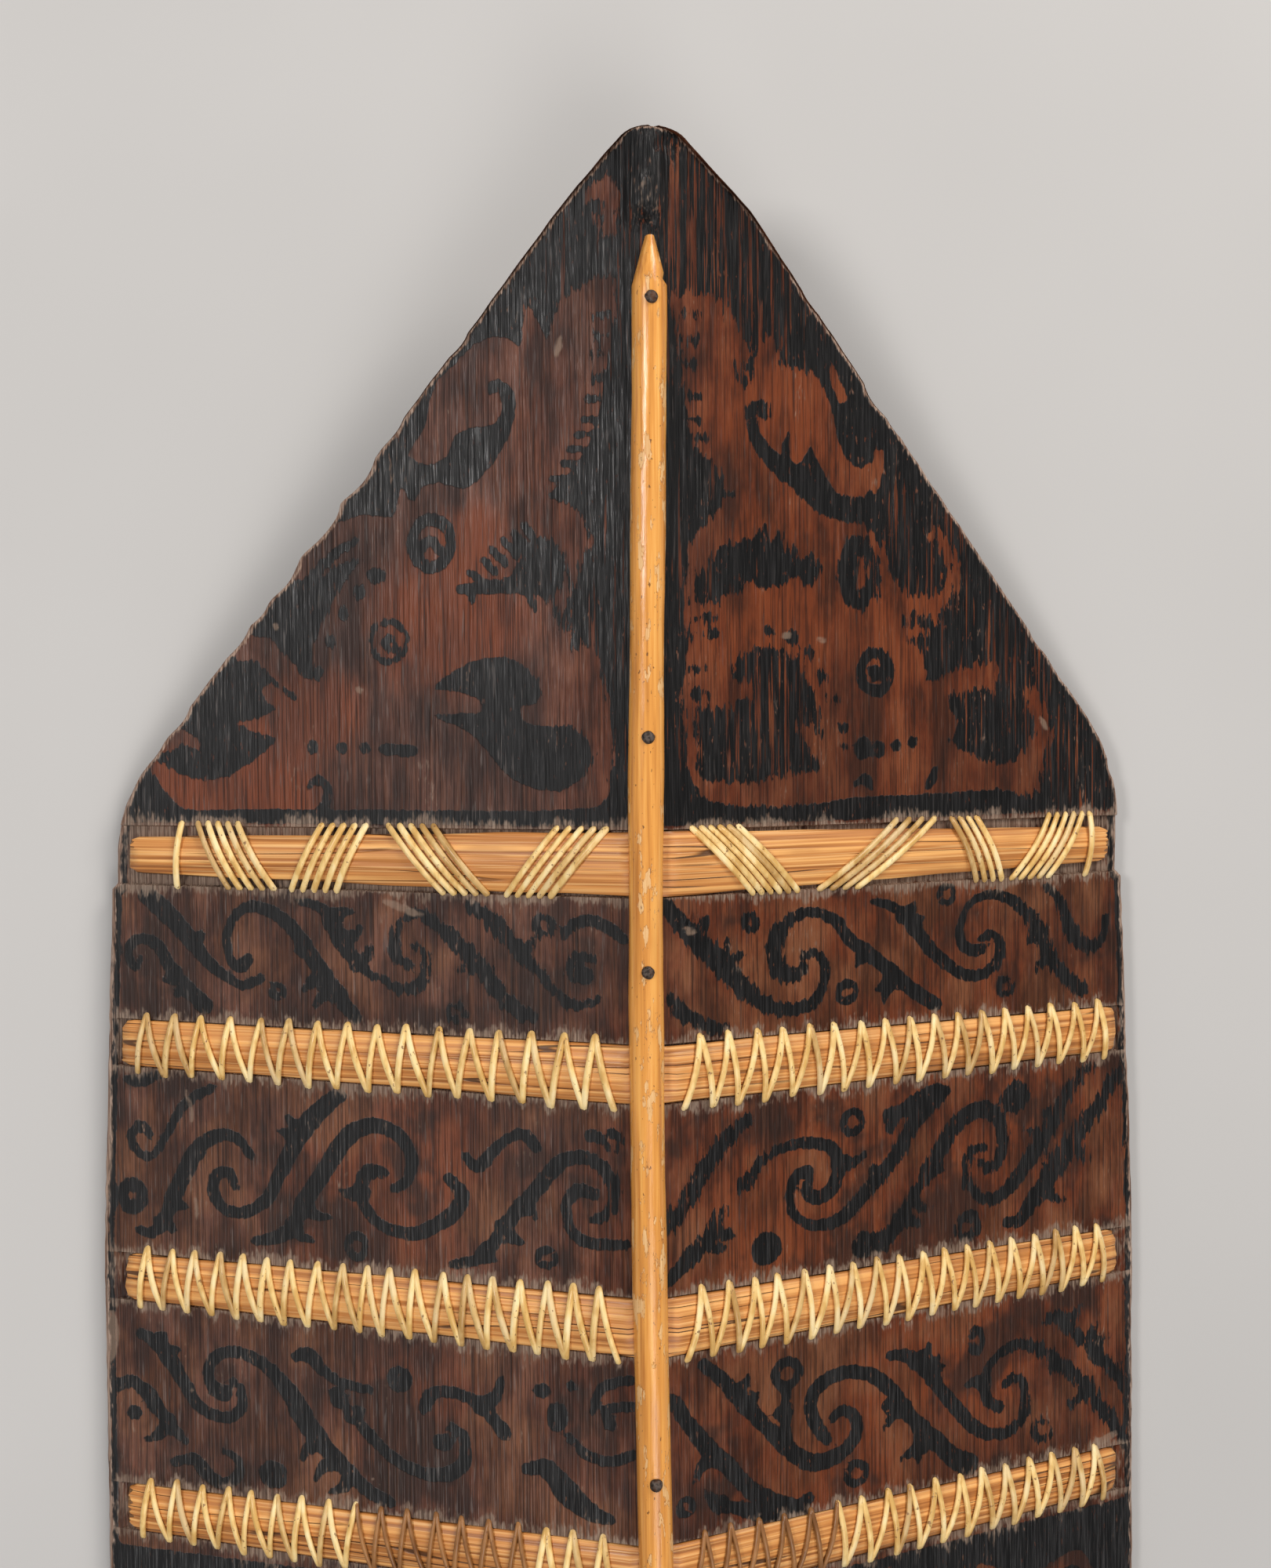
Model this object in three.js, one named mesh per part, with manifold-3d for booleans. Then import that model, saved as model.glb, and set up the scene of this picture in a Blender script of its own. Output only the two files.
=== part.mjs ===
import * as THREE from "three";
import { mergeVertices } from "three/addons/utils/BufferGeometryUtils.js";
import Module from "manifold-3d";

// A carved wooden shield lying on its back: length along Y, face up, ridge highest, millimetres

// Board
const LENGTH = 1200;
const WIDTH = 408;
const THICKNESS = 9;
const SLOPE = 0.4085;
const EDGE_HEIGHT = 8;
const SEAT_HALF = 5;
const VALLEY_HALF = 12;
const STRAIGHT_HALF = 200;
const STEP_Y = 331;
const STEP_HALF = 198.5;
const STEP_IN = 2;
const SHOULDER_ROUND = 20;
const EDGE_FALL = 1.26;
const APEX_RISE = 18;
const APEX_OFFSET = 5.4;
const TIP_OFFSET = 3;
const TIP_LENGTH = 25;
const TIP_HALF = 13.2;
const TIP_BEND = 9;
const TIP_DROP = 4.5;
const CURVE_STEPS = 6;

// Chips along the upper slanted edges: side, distance below the end, bite radius, bite depth
const CHIPS = [
  { side: -1, below: 117, radius: 9, depth: 2.4 },
  { side: -1, below: 135, radius: 11, depth: 2.6 },
  { side: -1, below: 154, radius: 9, depth: 2.2 },
  { side: 1, below: 85, radius: 8, depth: 2 },
];

// Rounded nose of the ridge past each end of the cane
const NOSE_WIDTH = 13;
const NOSE_HEIGHT = 5.5;
const NOSE_START = 564.5;
const NOSE_FULL = 580;
const NOSE_END = 594;
const NOSE_END_WIDTH = 8;
const NOSE_END_HEIGHT = 0.6;

// Hand grip on the back
const GRIP_WIDTH = 28;
const GRIP_BOTTOM = 20;
const GRIP_TOP = 44;
const GRIP_CHAMFER = 6;
const GRIP_INNER_HALF = 47;
const GRIP_OUTER_HALF = 64;
const GRIP_ROOT_HALF = 76;

// Ridge cane and its nails
const CANE_WIDTH = 12.2;
const CANE_HEIGHT = 7.5;
const CANE_HALF_LENGTH = 562;
const CANE_POINT = 16;
const CANE_POINT_SCALE = 0.3;
const CANE_SWAY = 1.6;
const CANE_SWAY_LENGTH = 640;
const CANE_SWAY_PEAK = 290;
const CANE_SIDES = 6;
const CANE_STEP = 140;
const NAIL_ROWS = [540, 389, 307.5, 127.5, 0, -127.5, -307.5, -389, -540];
const NAIL_HEAD_RADIUS = 2.3;
const NAIL_HEAD_HEIGHT = 1.5;
const NAIL_CROWN_RADIUS = 1.6;
const NAIL_CROWN_HEIGHT = 1.1;
const NAIL_SHANK_RADIUS = 1;
const NAIL_DEPTH = 14;
const NAIL_SIDES = 6;

// Cross splints: the end bands run out at the edges, the others stop short of them. The left half of a band
// climbs towards the upper end by so much at the edge.
const BAND_ROWS = [344.5, 270.3, 180.5, 92, -92, -180.5, -270.3, -344.5];
const LEFT_RISES = [0.8, 3.5, 3.3, 2.4, 0, 0, 0, 0];
const END_BAND = { half: 191, ridgeWidth: 23, tipWidth: 13.5, channelHalf: 215, channelTip: 22 };
const MIDDLE_BAND = { half: 195.5, ridgeWidth: 20.6, tipWidth: 17.2, channelHalf: 196, channelTip: 17.8 };
const CHANNEL_DEPTH = 2;
const SPLINT_CROWN = 2.4;
const SPLINT_EDGE = 0.2;

// Lacing: strand size, rows of holes, number of stitches to the left and right of the ridge
const STRAND_WIDTH = 2.6;
const STRAND_HEIGHT = 1.7;
const HOLE_SIZE = 2.9;
const THREAD_SIZE = 2.2;
const RUNNER_HEIGHT = 1.5;
const ROW_OFFSET = 3.2;
const INNER_HOLE = 12;
const OUTER_HOLE = 189;
const TOP_HOLE_SHARE = 0.65;
const STITCHES = [[16, 17], [19, 18], [18, 17], [11, 12], [12, 11], [11, 12]];

// Slanting groups on the end bands: middle of each group at the outer and inner row, and its width
const GROUP_ROW = 13;
const GROUPS = [
  { outer: -170.5, inner: -172.5, width: STRAND_WIDTH },
  { outer: -156, inner: -143, width: 18 },
  { outer: -108, inner: -120, width: 18 },
  { outer: -84, inner: -64, width: 18 },
  { outer: -24, inner: -42, width: 18 },
  { outer: 24, inner: 48, width: 18 },
  { outer: 105, inner: 72, width: 16 },
  { outer: 125, inner: 136.5, width: 13 },
  { outer: 171.5, inner: 154, width: 17 },
  { outer: 184.5, inner: 182.5, width: STRAND_WIDTH },
];

// Space left between pieces that touch
const GAP = 0.3;

const HALF_LENGTH = LENGTH / 2;
const HALF_WIDTH = WIDTH / 2;
const DROP = THICKNESS * Math.hypot(1, SLOPE);
const SEAT_HEIGHT = frontHeight(SEAT_HALF);
const VALLEY_HEIGHT = backHeight(VALLEY_HALF);
const CANE_BASE = SEAT_HEIGHT + GAP;
const CUTTER_RISE = 40;
const BLANK_HEIGHT = 120;
const CHIP_SIDES = 10;

const wasm = await Module();
wasm.setup();

function frontHeight(x) {
  return EDGE_HEIGHT + SLOPE * (HALF_WIDTH - Math.max(Math.abs(x), SEAT_HALF));
}

function backHeight(x) {
  return EDGE_HEIGHT + SLOPE * (HALF_WIDTH - Math.max(Math.abs(x), VALLEY_HALF)) - DROP;
}

// Solids for joining and cutting
function toSolid(geometry) {
  const bare = geometry.clone();
  bare.deleteAttribute("normal");
  bare.deleteAttribute("uv");
  const merged = mergeVertices(bare, 1e-4);
  const vertProperties = new Float32Array(merged.attributes.position.array);
  const triVerts = new Uint32Array(merged.index.array);
  return new wasm.Manifold(new wasm.Mesh({ numProp: 3, vertProperties, triVerts }));
}

function toGeometry(solid) {
  const mesh = solid.getMesh();
  const geometry = new THREE.BufferGeometry();
  geometry.setAttribute("position", new THREE.BufferAttribute(mesh.vertProperties, 3));
  geometry.setIndex(new THREE.BufferAttribute(mesh.triVerts, 1));
  return geometry;
}

function cut(solid, geometries) {
  return geometries.reduce((left, tool) => left.subtract(toSolid(tool)), solid);
}

function join(geometries) {
  return geometries.map(toSolid).reduce((whole, piece) => whole.add(piece));
}

// Closed skin through rings that all have the same number of points
function loft(rings) {
  const count = rings[0].length;
  const positions = rings.flat().flatMap((point) => [point.x, point.y, point.z]);
  const index = [];
  for (let ring = 0; ring + 1 < rings.length; ring++) {
    for (let i = 0; i < count; i++) {
      const next = (i + 1) % count;
      const a = ring * count + i;
      const b = ring * count + next;
      index.push(a, b, b + count, a, b + count, a + count);
    }
  }
  const last = (rings.length - 1) * count;
  for (let i = 1; i + 1 < count; i++) {
    index.push(0, i + 1, i, last, last + i, last + i + 1);
  }
  const geometry = new THREE.BufferGeometry();
  geometry.setAttribute("position", new THREE.Float32BufferAttribute(positions, 3));
  geometry.setIndex(index);
  return geometry;
}

// Section in X and Z drawn out along Y
function drawAlongY(points, from, to) {
  const shape = new THREE.Shape(points.map(([x, z]) => new THREE.Vector2(x, z)));
  const geometry = new THREE.ExtrudeGeometry(shape, { depth: to - from, bevelEnabled: false });
  return geometry.rotateX(Math.PI / 2).translate(0, to, 0);
}

function box(sizeX, sizeY, sizeZ, x, y, z) {
  return new THREE.BoxGeometry(sizeX, sizeY, sizeZ).translate(x, y, z);
}

// One end of the outline, passed from the right-hand side at the top and the left at the foot. Its slanted
// edges aim at a point beyond the end, and a short blunt tip closes them off.
function drawEnd(shape, end, apexX, tipX) {
  const apexY = HALF_LENGTH + APEX_RISE;
  const shoulderX = STEP_HALF - STEP_IN;
  const tipStart = HALF_LENGTH - TIP_LENGTH;
  const tipCorner = HALF_LENGTH - TIP_DROP;
  const slantX = (side, y) => apexX + side * (apexY - y) / EDGE_FALL;
  const cornerY = (side) => apexY - EDGE_FALL * Math.abs(side * shoulderX - apexX);
  const enter = end;
  const leave = -end;
  const enterCorner = cornerY(enter);
  const leaveCorner = cornerY(leave);

  shape.lineTo(enter * HALF_WIDTH, end * STRAIGHT_HALF);
  shape.lineTo(enter * STEP_HALF, end * STEP_Y);
  shape.lineTo(enter * shoulderX, end * STEP_Y);
  shape.lineTo(enter * shoulderX, end * (enterCorner - SHOULDER_ROUND));
  const enterSlant = enterCorner + SHOULDER_ROUND;
  shape.quadraticCurveTo(enter * shoulderX, end * enterCorner, slantX(enter, enterSlant), end * enterSlant);
  shape.lineTo(slantX(enter, tipStart), end * tipStart);
  shape.lineTo(tipX + enter * TIP_HALF, end * tipCorner);
  shape.quadraticCurveTo(tipX + enter * TIP_BEND, end * HALF_LENGTH, tipX, end * HALF_LENGTH);
  const leaveTip = tipX + leave * TIP_HALF;
  shape.quadraticCurveTo(tipX + leave * TIP_BEND, end * HALF_LENGTH, leaveTip, end * tipCorner);
  shape.lineTo(slantX(leave, tipStart), end * tipStart);
  const leaveSlant = leaveCorner + SHOULDER_ROUND;
  shape.lineTo(slantX(leave, leaveSlant), end * leaveSlant);
  const leaveEnd = leaveCorner - SHOULDER_ROUND;
  shape.quadraticCurveTo(leave * shoulderX, end * leaveCorner, leave * shoulderX, end * leaveEnd);
  shape.lineTo(leave * shoulderX, end * STEP_Y);
  shape.lineTo(leave * STEP_HALF, end * STEP_Y);
  shape.lineTo(leave * HALF_WIDTH, end * STRAIGHT_HALF);
}

function boardOutline() {
  const shape = new THREE.Shape();
  shape.moveTo(HALF_WIDTH, -STRAIGHT_HALF);
  drawEnd(shape, 1, APEX_OFFSET, TIP_OFFSET);
  drawEnd(shape, -1, 0, 0);
  const blank = { depth: BLANK_HEIGHT, bevelEnabled: false, curveSegments: CURVE_STEPS };
  return new THREE.ExtrudeGeometry(shape, blank);
}

// Roof-shaped section with a flat foot along each long edge
function boardSection() {
  const footX = HALF_WIDTH - (DROP - EDGE_HEIGHT) / SLOPE;
  const right = [
    [SEAT_HALF, SEAT_HEIGHT],
    [HALF_WIDTH, EDGE_HEIGHT],
    [HALF_WIDTH, 0],
    [footX, 0],
    [VALLEY_HALF, VALLEY_HEIGHT],
  ];
  const left = right.map(([x, z]) => [-x, z]).reverse();
  return [...right, ...left];
}

function halfRound(width, height, x, y, z, sides) {
  const ring = [];
  for (let i = 0; i <= sides; i++) {
    const angle = Math.PI * i / sides;
    const across = x + width / 2 * Math.cos(angle);
    ring.push(new THREE.Vector3(across, y, z + height * Math.sin(angle)));
  }
  return ring;
}

function nose(end) {
  const sunk = SEAT_HEIGHT - CHANNEL_DEPTH;
  const rings = [
    halfRound(NOSE_WIDTH, NOSE_HEIGHT + CHANNEL_DEPTH, 0, NOSE_START, sunk, CANE_SIDES),
    halfRound(NOSE_WIDTH, NOSE_HEIGHT + CHANNEL_DEPTH, 0, NOSE_FULL, sunk, CANE_SIDES),
    halfRound(NOSE_END_WIDTH, NOSE_END_HEIGHT + CHANNEL_DEPTH, 0, NOSE_END, sunk, CANE_SIDES),
  ];
  const geometry = loft(rings.map((ring) => ring.reverse()));
  return end > 0 ? geometry : geometry.rotateZ(Math.PI);
}

function grip() {
  const half = GRIP_WIDTH / 2;
  const inset = half - GRIP_CHAMFER;
  const barSection = [
    [inset, GRIP_BOTTOM],
    [half, GRIP_BOTTOM + GRIP_CHAMFER],
    [half, GRIP_TOP - GRIP_CHAMFER],
    [inset, GRIP_TOP],
    [-inset, GRIP_TOP],
    [-half, GRIP_TOP - GRIP_CHAMFER],
    [-half, GRIP_BOTTOM + GRIP_CHAMFER],
    [-inset, GRIP_BOTTOM],
  ];
  const bar = drawAlongY(barSection, -GRIP_OUTER_HALF, GRIP_OUTER_HALF);
  const root = VALLEY_HEIGHT + THICKNESS / 2;
  const posts = [1, -1].map((end) => {
    const profile = [
      [GRIP_INNER_HALF, GRIP_BOTTOM + GRIP_CHAMFER],
      [GRIP_OUTER_HALF, GRIP_BOTTOM + GRIP_CHAMFER],
      [GRIP_ROOT_HALF, root],
      [GRIP_INNER_HALF, root],
    ];
    const rings = [-half, half].map((x) => profile.map(([y, z]) => new THREE.Vector3(end * x, end * y, z)));
    return loft(rings);
  });
  return [bar, ...posts];
}

// Cutters for the chips, centred outside the slanted edge
function chip({ side, below, radius, depth }) {
  const run = (below + APEX_RISE) / EDGE_FALL;
  const out = (radius - depth) / Math.hypot(1, EDGE_FALL);
  const x = APEX_OFFSET + side * (run + out * EDGE_FALL);
  const y = HALF_LENGTH - below + out;
  const bite = new THREE.CylinderGeometry(radius, radius, BLANK_HEIGHT, CHIP_SIDES);
  return bite.rotateX(Math.PI / 2).translate(x, y, BLANK_HEIGHT / 2);
}

// Splints and the channels they lie in
function bandOf(i) {
  return i === 0 || i === BAND_ROWS.length - 1 ? END_BAND : MIDDLE_BAND;
}

function bandRow(i, x) {
  return BAND_ROWS[i] + LEFT_RISES[i] * Math.max(-x, 0) / HALF_WIDTH;
}

function splintHalfWidth(band, x) {
  const share = Math.min(Math.abs(x) / band.half, 1);
  return (band.ridgeWidth + (band.tipWidth - band.ridgeWidth) * share) / 2;
}

function channel(i) {
  const band = bandOf(i);
  const ridgeHalf = band.ridgeWidth / 2 + GAP;
  const stations = [-band.channelHalf, -SEAT_HALF, SEAT_HALF, band.channelHalf];
  return loft(stations.map((x) => {
    const half = Math.abs(x) > SEAT_HALF ? band.channelTip / 2 : ridgeHalf;
    const floor = frontHeight(x) - CHANNEL_DEPTH;
    const top = floor + CUTTER_RISE;
    const corners = [[-half, floor], [half, floor], [half, top], [-half, top]];
    return corners.map(([y, z]) => new THREE.Vector3(x, bandRow(i, x) + y, z));
  }));
}

function splint(i) {
  const band = bandOf(i);
  const stations = [-band.half, -SEAT_HALF, SEAT_HALF, band.half];
  const bar = loft(stations.map((x) => {
    const half = splintHalfWidth(band, x);
    const middle = (SPLINT_EDGE + SPLINT_CROWN) / 2;
    const section = [
      [-half, GAP - CHANNEL_DEPTH],
      [half, GAP - CHANNEL_DEPTH],
      [half, SPLINT_EDGE],
      [half / 2, middle],
      [0, SPLINT_CROWN],
      [-half / 2, middle],
      [-half, SPLINT_EDGE],
    ];
    return section.map(([y, lift]) => new THREE.Vector3(x, bandRow(i, x) + y, frontHeight(x) + lift));
  }));
  const notchWidth = CANE_WIDTH + 2 * CANE_SWAY + 2 * GAP;
  const notch = box(notchWidth, WIDTH, CUTTER_RISE, 0, BAND_ROWS[i], SEAT_HEIGHT + CUTTER_RISE / 2);
  return cut(toSolid(bar), [notch]);
}

// Ridge cane, swaying slightly along its length, pointed at both ends
function caneCentre(y) {
  return -CANE_SWAY * Math.cos(2 * Math.PI * (y - CANE_SWAY_PEAK) / CANE_SWAY_LENGTH);
}

function cane() {
  const full = CANE_HALF_LENGTH - CANE_POINT;
  const steps = Math.round(2 * full / CANE_STEP);
  const stations = [-CANE_HALF_LENGTH];
  for (let i = 0; i <= steps; i++) {
    stations.push(-full + 2 * full * i / steps);
  }
  stations.push(CANE_HALF_LENGTH);
  const rings = stations.map((y) => {
    const size = Math.abs(y) > full ? CANE_POINT_SCALE : 1;
    const ring = halfRound(CANE_WIDTH * size, CANE_HEIGHT * size, caneCentre(y), y, CANE_BASE, CANE_SIDES);
    return ring.reverse();
  });
  const holes = NAIL_ROWS.map((y) => nailHole(y));
  return cut(toSolid(loft(rings)), holes);
}

function nailHole(y) {
  const radius = NAIL_SHANK_RADIUS + GAP;
  const top = CANE_BASE + CANE_HEIGHT + GAP;
  const depth = NAIL_DEPTH + 2 * GAP;
  const hole = new THREE.CylinderGeometry(radius, radius, depth, NAIL_SIDES);
  return hole.rotateX(Math.PI / 2).translate(caneCentre(y), y, top - depth / 2 + GAP);
}

function nail() {
  const profile = [
    new THREE.Vector2(0, -NAIL_DEPTH),
    new THREE.Vector2(NAIL_SHANK_RADIUS, -NAIL_DEPTH),
    new THREE.Vector2(NAIL_SHANK_RADIUS, 0),
    new THREE.Vector2(NAIL_HEAD_RADIUS, 0),
    new THREE.Vector2(NAIL_CROWN_RADIUS, NAIL_CROWN_HEIGHT),
    new THREE.Vector2(0, NAIL_HEAD_HEIGHT),
  ];
  return new THREE.LatheGeometry(profile, NAIL_SIDES).rotateX(Math.PI / 2);
}

// Holes of one zigzag from the ridge outwards or back, always in order of growing x
function zigzagHoles(i, side, stitches) {
  const band = bandOf(i);
  const pitch = (OUTER_HOLE - INNER_HOLE) / stitches;
  const holes = [];
  const place = (distance, up) => {
    const row = splintHalfWidth(band, distance) + ROW_OFFSET;
    holes.push({ x: side * distance, y: up * row });
  };
  place(INNER_HOLE, -1);
  for (let k = 0; k < stitches; k++) {
    place(INNER_HOLE + pitch * (k + TOP_HOLE_SHARE), 1);
    place(INNER_HOLE + pitch * (k + 1), -1);
  }
  return side > 0 ? holes : holes.reverse();
}

// Zigzag strand with a three-cornered section, each leg arching over the crown of the splint
function zigzag(holes, i) {
  const half = STRAND_WIDTH / 2;
  const positions = [];
  const index = [];
  const vertex = (x, y, lift) => {
    positions.push(x, bandRow(i, x) + y, frontHeight(x) + lift);
    return positions.length / 3 - 1;
  };
  const quad = (flip, a, b, c, d) => {
    index.push(...(flip ? [a, c, b, a, d, c] : [a, b, c, a, c, d]));
  };
  const lean = (from, to) => (to.x - from.x) / (to.y - from.y);

  const ends = holes.map((hole, k) => {
    const end = {
      left: vertex(hole.x - half, hole.y, GAP),
      right: vertex(hole.x + half, hole.y, GAP),
      top: vertex(hole.x, hole.y, GAP + STRAND_HEIGHT),
      inner: null,
    };
    if (k > 0 && k + 1 < holes.length) {
      const before = lean(hole, holes[k - 1]);
      const after = lean(hole, holes[k + 1]);
      const away = STRAND_WIDTH / (after - before);
      const y = hole.y + away;
      const lift = GAP + SPLINT_CROWN * (1 - Math.abs(y / hole.y));
      end.inner = vertex(hole.x + away * after - half, y, lift);
    }
    return end;
  });

  for (let k = 0; k + 1 < holes.length; k++) {
    const from = ends[k];
    const to = ends[k + 1];
    const flip = holes[k + 1].y < holes[k].y;
    const share = holes[k].y / (holes[k].y - holes[k + 1].y);
    const x = holes[k].x + (holes[k + 1].x - holes[k].x) * share;
    const left = vertex(x - half, 0, GAP + SPLINT_CROWN);
    const right = vertex(x + half, 0, GAP + SPLINT_CROWN);
    const top = vertex(x, 0, GAP + SPLINT_CROWN + STRAND_HEIGHT);
    const fromLeft = from.inner ?? from.left;
    const toRight = to.inner ?? to.right;
    quad(flip, fromLeft, from.top, top, left);
    quad(flip, left, top, to.top, to.left);
    quad(flip, from.top, from.right, right, top);
    quad(flip, top, right, toRight, to.top);
    quad(flip, from.right, fromLeft, left, right);
    quad(flip, right, left, to.left, toRight);
  }

  ends.forEach((end, k) => {
    const foot = holes[k].y < 0;
    index.push(...(foot ? [end.left, end.right, end.top] : [end.right, end.left, end.top]));
    if (end.inner !== null) {
      index.push(...(foot ? [end.right, end.left, end.inner] : [end.left, end.right, end.inner]));
    }
  });

  const geometry = new THREE.BufferGeometry();
  geometry.setAttribute("position", new THREE.Float32BufferAttribute(positions, 3));
  geometry.setIndex(index);
  return geometry;
}

// Strand through the board, and the plain run that ties the strands together on the back
function thread(x, y, size, deep) {
  const top = frontHeight(x) + STRAND_HEIGHT / 2;
  const bottom = backHeight(x) - deep;
  return box(size, size, top - bottom, x, y, (top + bottom) / 2);
}

function runner(i, offset, from, to) {
  const half = STRAND_WIDTH / 2;
  return loft([from, -VALLEY_HALF, VALLEY_HALF, to].map((x) => {
    const y = bandRow(i, x) + offset;
    const top = backHeight(x) - GAP;
    const bottom = top - RUNNER_HEIGHT;
    const corners = [[-half, bottom], [half, bottom], [half, top], [-half, top]];
    return corners.map(([across, z]) => new THREE.Vector3(x, y + across, z));
  }));
}

function ribbon(i, { outer, inner, width }, end) {
  const rows = [[inner, -GROUP_ROW, 0], [(outer + inner) / 2, 0, SPLINT_CROWN], [outer, GROUP_ROW, 0]];
  const rings = rows.map(([middle, y, crown]) => {
    const lift = GAP + crown;
    const corners = [[-1, 0], [1, 0], [1, STRAND_HEIGHT], [-1, STRAND_HEIGHT]];
    return corners.map(([side, height]) => {
      const x = middle + side * width / 2;
      return new THREE.Vector3(x, bandRow(i, x) + end * y, frontHeight(x) + lift + height);
    });
  });
  return loft(end > 0 ? rings.map((ring) => ring.reverse()) : rings);
}

// Where the lacing of a band goes through the board to its run on the back, and how far that is off the band
function runOffset(i) {
  const band = bandOf(i);
  if (band === END_BAND) {
    return -Math.sign(BAND_ROWS[i]) * GROUP_ROW;
  }
  return -splintHalfWidth(band, OUTER_HOLE) - ROW_OFFSET;
}

function lacingHoles(i) {
  const places = bandOf(i) === END_BAND ? GROUPS.map(({ inner }) => inner) : [-OUTER_HOLE, OUTER_HOLE];
  return places.map((x) => ({ x, y: bandRow(i, x) + runOffset(i) }));
}

function lacing(i) {
  const holes = lacingHoles(i);
  const threads = holes.map(({ x, y }) => thread(x, y, THREAD_SIZE, GAP + RUNNER_HEIGHT / 2));
  const reach = STRAND_WIDTH / 2;
  const run = runner(i, runOffset(i), holes[0].x - reach, holes[holes.length - 1].x + reach);
  if (bandOf(i) === END_BAND) {
    const end = Math.sign(BAND_ROWS[i]);
    return join([run, ...threads, ...GROUPS.map((place) => ribbon(i, place, end))]);
  }
  const [left, right] = STITCHES[i - 1];
  return join([run, ...threads, zigzag(zigzagHoles(i, -1, left), i), zigzag(zigzagHoles(i, 1, right), i)]);
}

function board() {
  const blank = toSolid(drawAlongY(boardSection(), -LENGTH, LENGTH));
  const shaped = blank.intersect(toSolid(boardOutline()));
  const carved = [nose(1), nose(-1), ...grip()].reduce((left, piece) => left.add(toSolid(piece)), shaped);
  const bands = BAND_ROWS.map((row, i) => i);
  const holes = bands.flatMap((i) => lacingHoles(i).map(({ x, y }) => thread(x, y, HOLE_SIZE, CUTTER_RISE)));
  return cut(carved, [
    ...CHIPS.map(chip),
    ...bands.map(channel),
    ...holes,
    ...NAIL_ROWS.map(nailHole),
  ]);
}

// Colours and surfaces
const wood = new THREE.MeshStandardMaterial({ color: 0x63372a, roughness: 0.6, metalness: 0 });
const yellowCane = new THREE.MeshStandardMaterial({ color: 0xc98a3c, roughness: 0.35, metalness: 0 });
const brownCane = new THREE.MeshStandardMaterial({ color: 0xb0723a, roughness: 0.5, metalness: 0 });
const paleCane = new THREE.MeshStandardMaterial({ color: 0xd9b574, roughness: 0.55, metalness: 0 });
const iron = new THREE.MeshStandardMaterial({ color: 0x33302e, roughness: 0.6, metalness: 0.8 });

const group = new THREE.Group();

function addPiece(name, geometry, material) {
  const mesh = new THREE.Mesh(geometry, material);
  mesh.name = name;
  group.add(mesh);
  return mesh;
}

addPiece("board", toGeometry(board()), wood);
addPiece("ridge_cane", toGeometry(cane()), yellowCane);
NAIL_ROWS.forEach((y, i) => {
  const piece = addPiece(`ridge_nail_${i + 1}`, nail(), iron);
  piece.position.set(caneCentre(y), y, CANE_BASE + CANE_HEIGHT + GAP);
});
BAND_ROWS.forEach((y, i) => {
  addPiece(`cross_splint_${i + 1}`, toGeometry(splint(i)), brownCane);
  addPiece(`lacing_${i + 1}`, toGeometry(lacing(i)), paleCane);
});

export default group;
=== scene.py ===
import math

import bpy
import numpy as np
from mathutils import Matrix, Vector


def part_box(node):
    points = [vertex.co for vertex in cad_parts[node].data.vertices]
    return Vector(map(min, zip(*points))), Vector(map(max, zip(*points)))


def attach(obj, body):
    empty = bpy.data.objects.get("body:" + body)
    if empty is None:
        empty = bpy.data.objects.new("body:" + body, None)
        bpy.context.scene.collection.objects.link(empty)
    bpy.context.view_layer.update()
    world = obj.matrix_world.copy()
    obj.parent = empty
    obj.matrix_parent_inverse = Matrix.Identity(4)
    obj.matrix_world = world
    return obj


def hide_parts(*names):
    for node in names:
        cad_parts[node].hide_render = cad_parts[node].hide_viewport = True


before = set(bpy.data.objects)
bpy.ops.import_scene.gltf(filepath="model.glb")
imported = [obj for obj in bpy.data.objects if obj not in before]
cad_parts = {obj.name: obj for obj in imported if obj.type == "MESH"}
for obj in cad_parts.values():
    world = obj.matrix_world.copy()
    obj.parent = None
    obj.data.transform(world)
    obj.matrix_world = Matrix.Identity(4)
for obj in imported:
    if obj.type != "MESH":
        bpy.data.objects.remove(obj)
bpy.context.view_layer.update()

# A painted wooden shield lying on its back. Sizes are in millimetres, length along Y, face up.
MM = 0.001
board_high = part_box("board")[1]

# Board
HALF_LENGTH = board_high.y / MM
HALF_WIDTH = board_high.x / MM
THICKNESS = 9.0
SLOPE = 0.4085
EDGE_HEIGHT = 8.0
SEAT_HALF = 5.0
VALLEY_HALF = 12.0
STRAIGHT_HALF = 200.0
STEP_Y = 331.0
STEP_HALF = 198.5
SHOULDER_X = 196.5
SHOULDER_ROUND = 20.0
EDGE_FALL = 1.26
APEX_RISE = 18.0
APEX_OFFSET = 5.4
TIP_OFFSET = 3.0
TIP_LENGTH = 25.0
TIP_HALF = 13.2
TIP_BEND = 9.0
TIP_DROP = 4.5
RIM_ROUND = 1.9
RIM_FADE = 4.0
DROP = THICKNESS * math.hypot(1.0, SLOPE)
SLANT = EDGE_FALL / math.hypot(1.0, EDGE_FALL)

# Bites out of the slanted edges at the upper end: side, Y, half length, depth
CHIPS = [
    (-1, 529, 4, 0.9), (-1, 499, 5, 0.8), (-1, 483, 7.5, 2.4), (-1, 466, 8.5, 2.6), (-1, 447, 8, 2.3),
    (-1, 436, 5, 1.3), (-1, 425, 6, 1.0), (-1, 396, 5, 1.4), (-1, 384, 4, 0.8), (1, 545, 4, 0.8),
    (1, 512, 6, 1.9), (1, 503, 4, 0.8), (1, 424, 4, 1.2), (1, 412, 5, 0.8), (1, 374, 4, 1.1),
]

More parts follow.
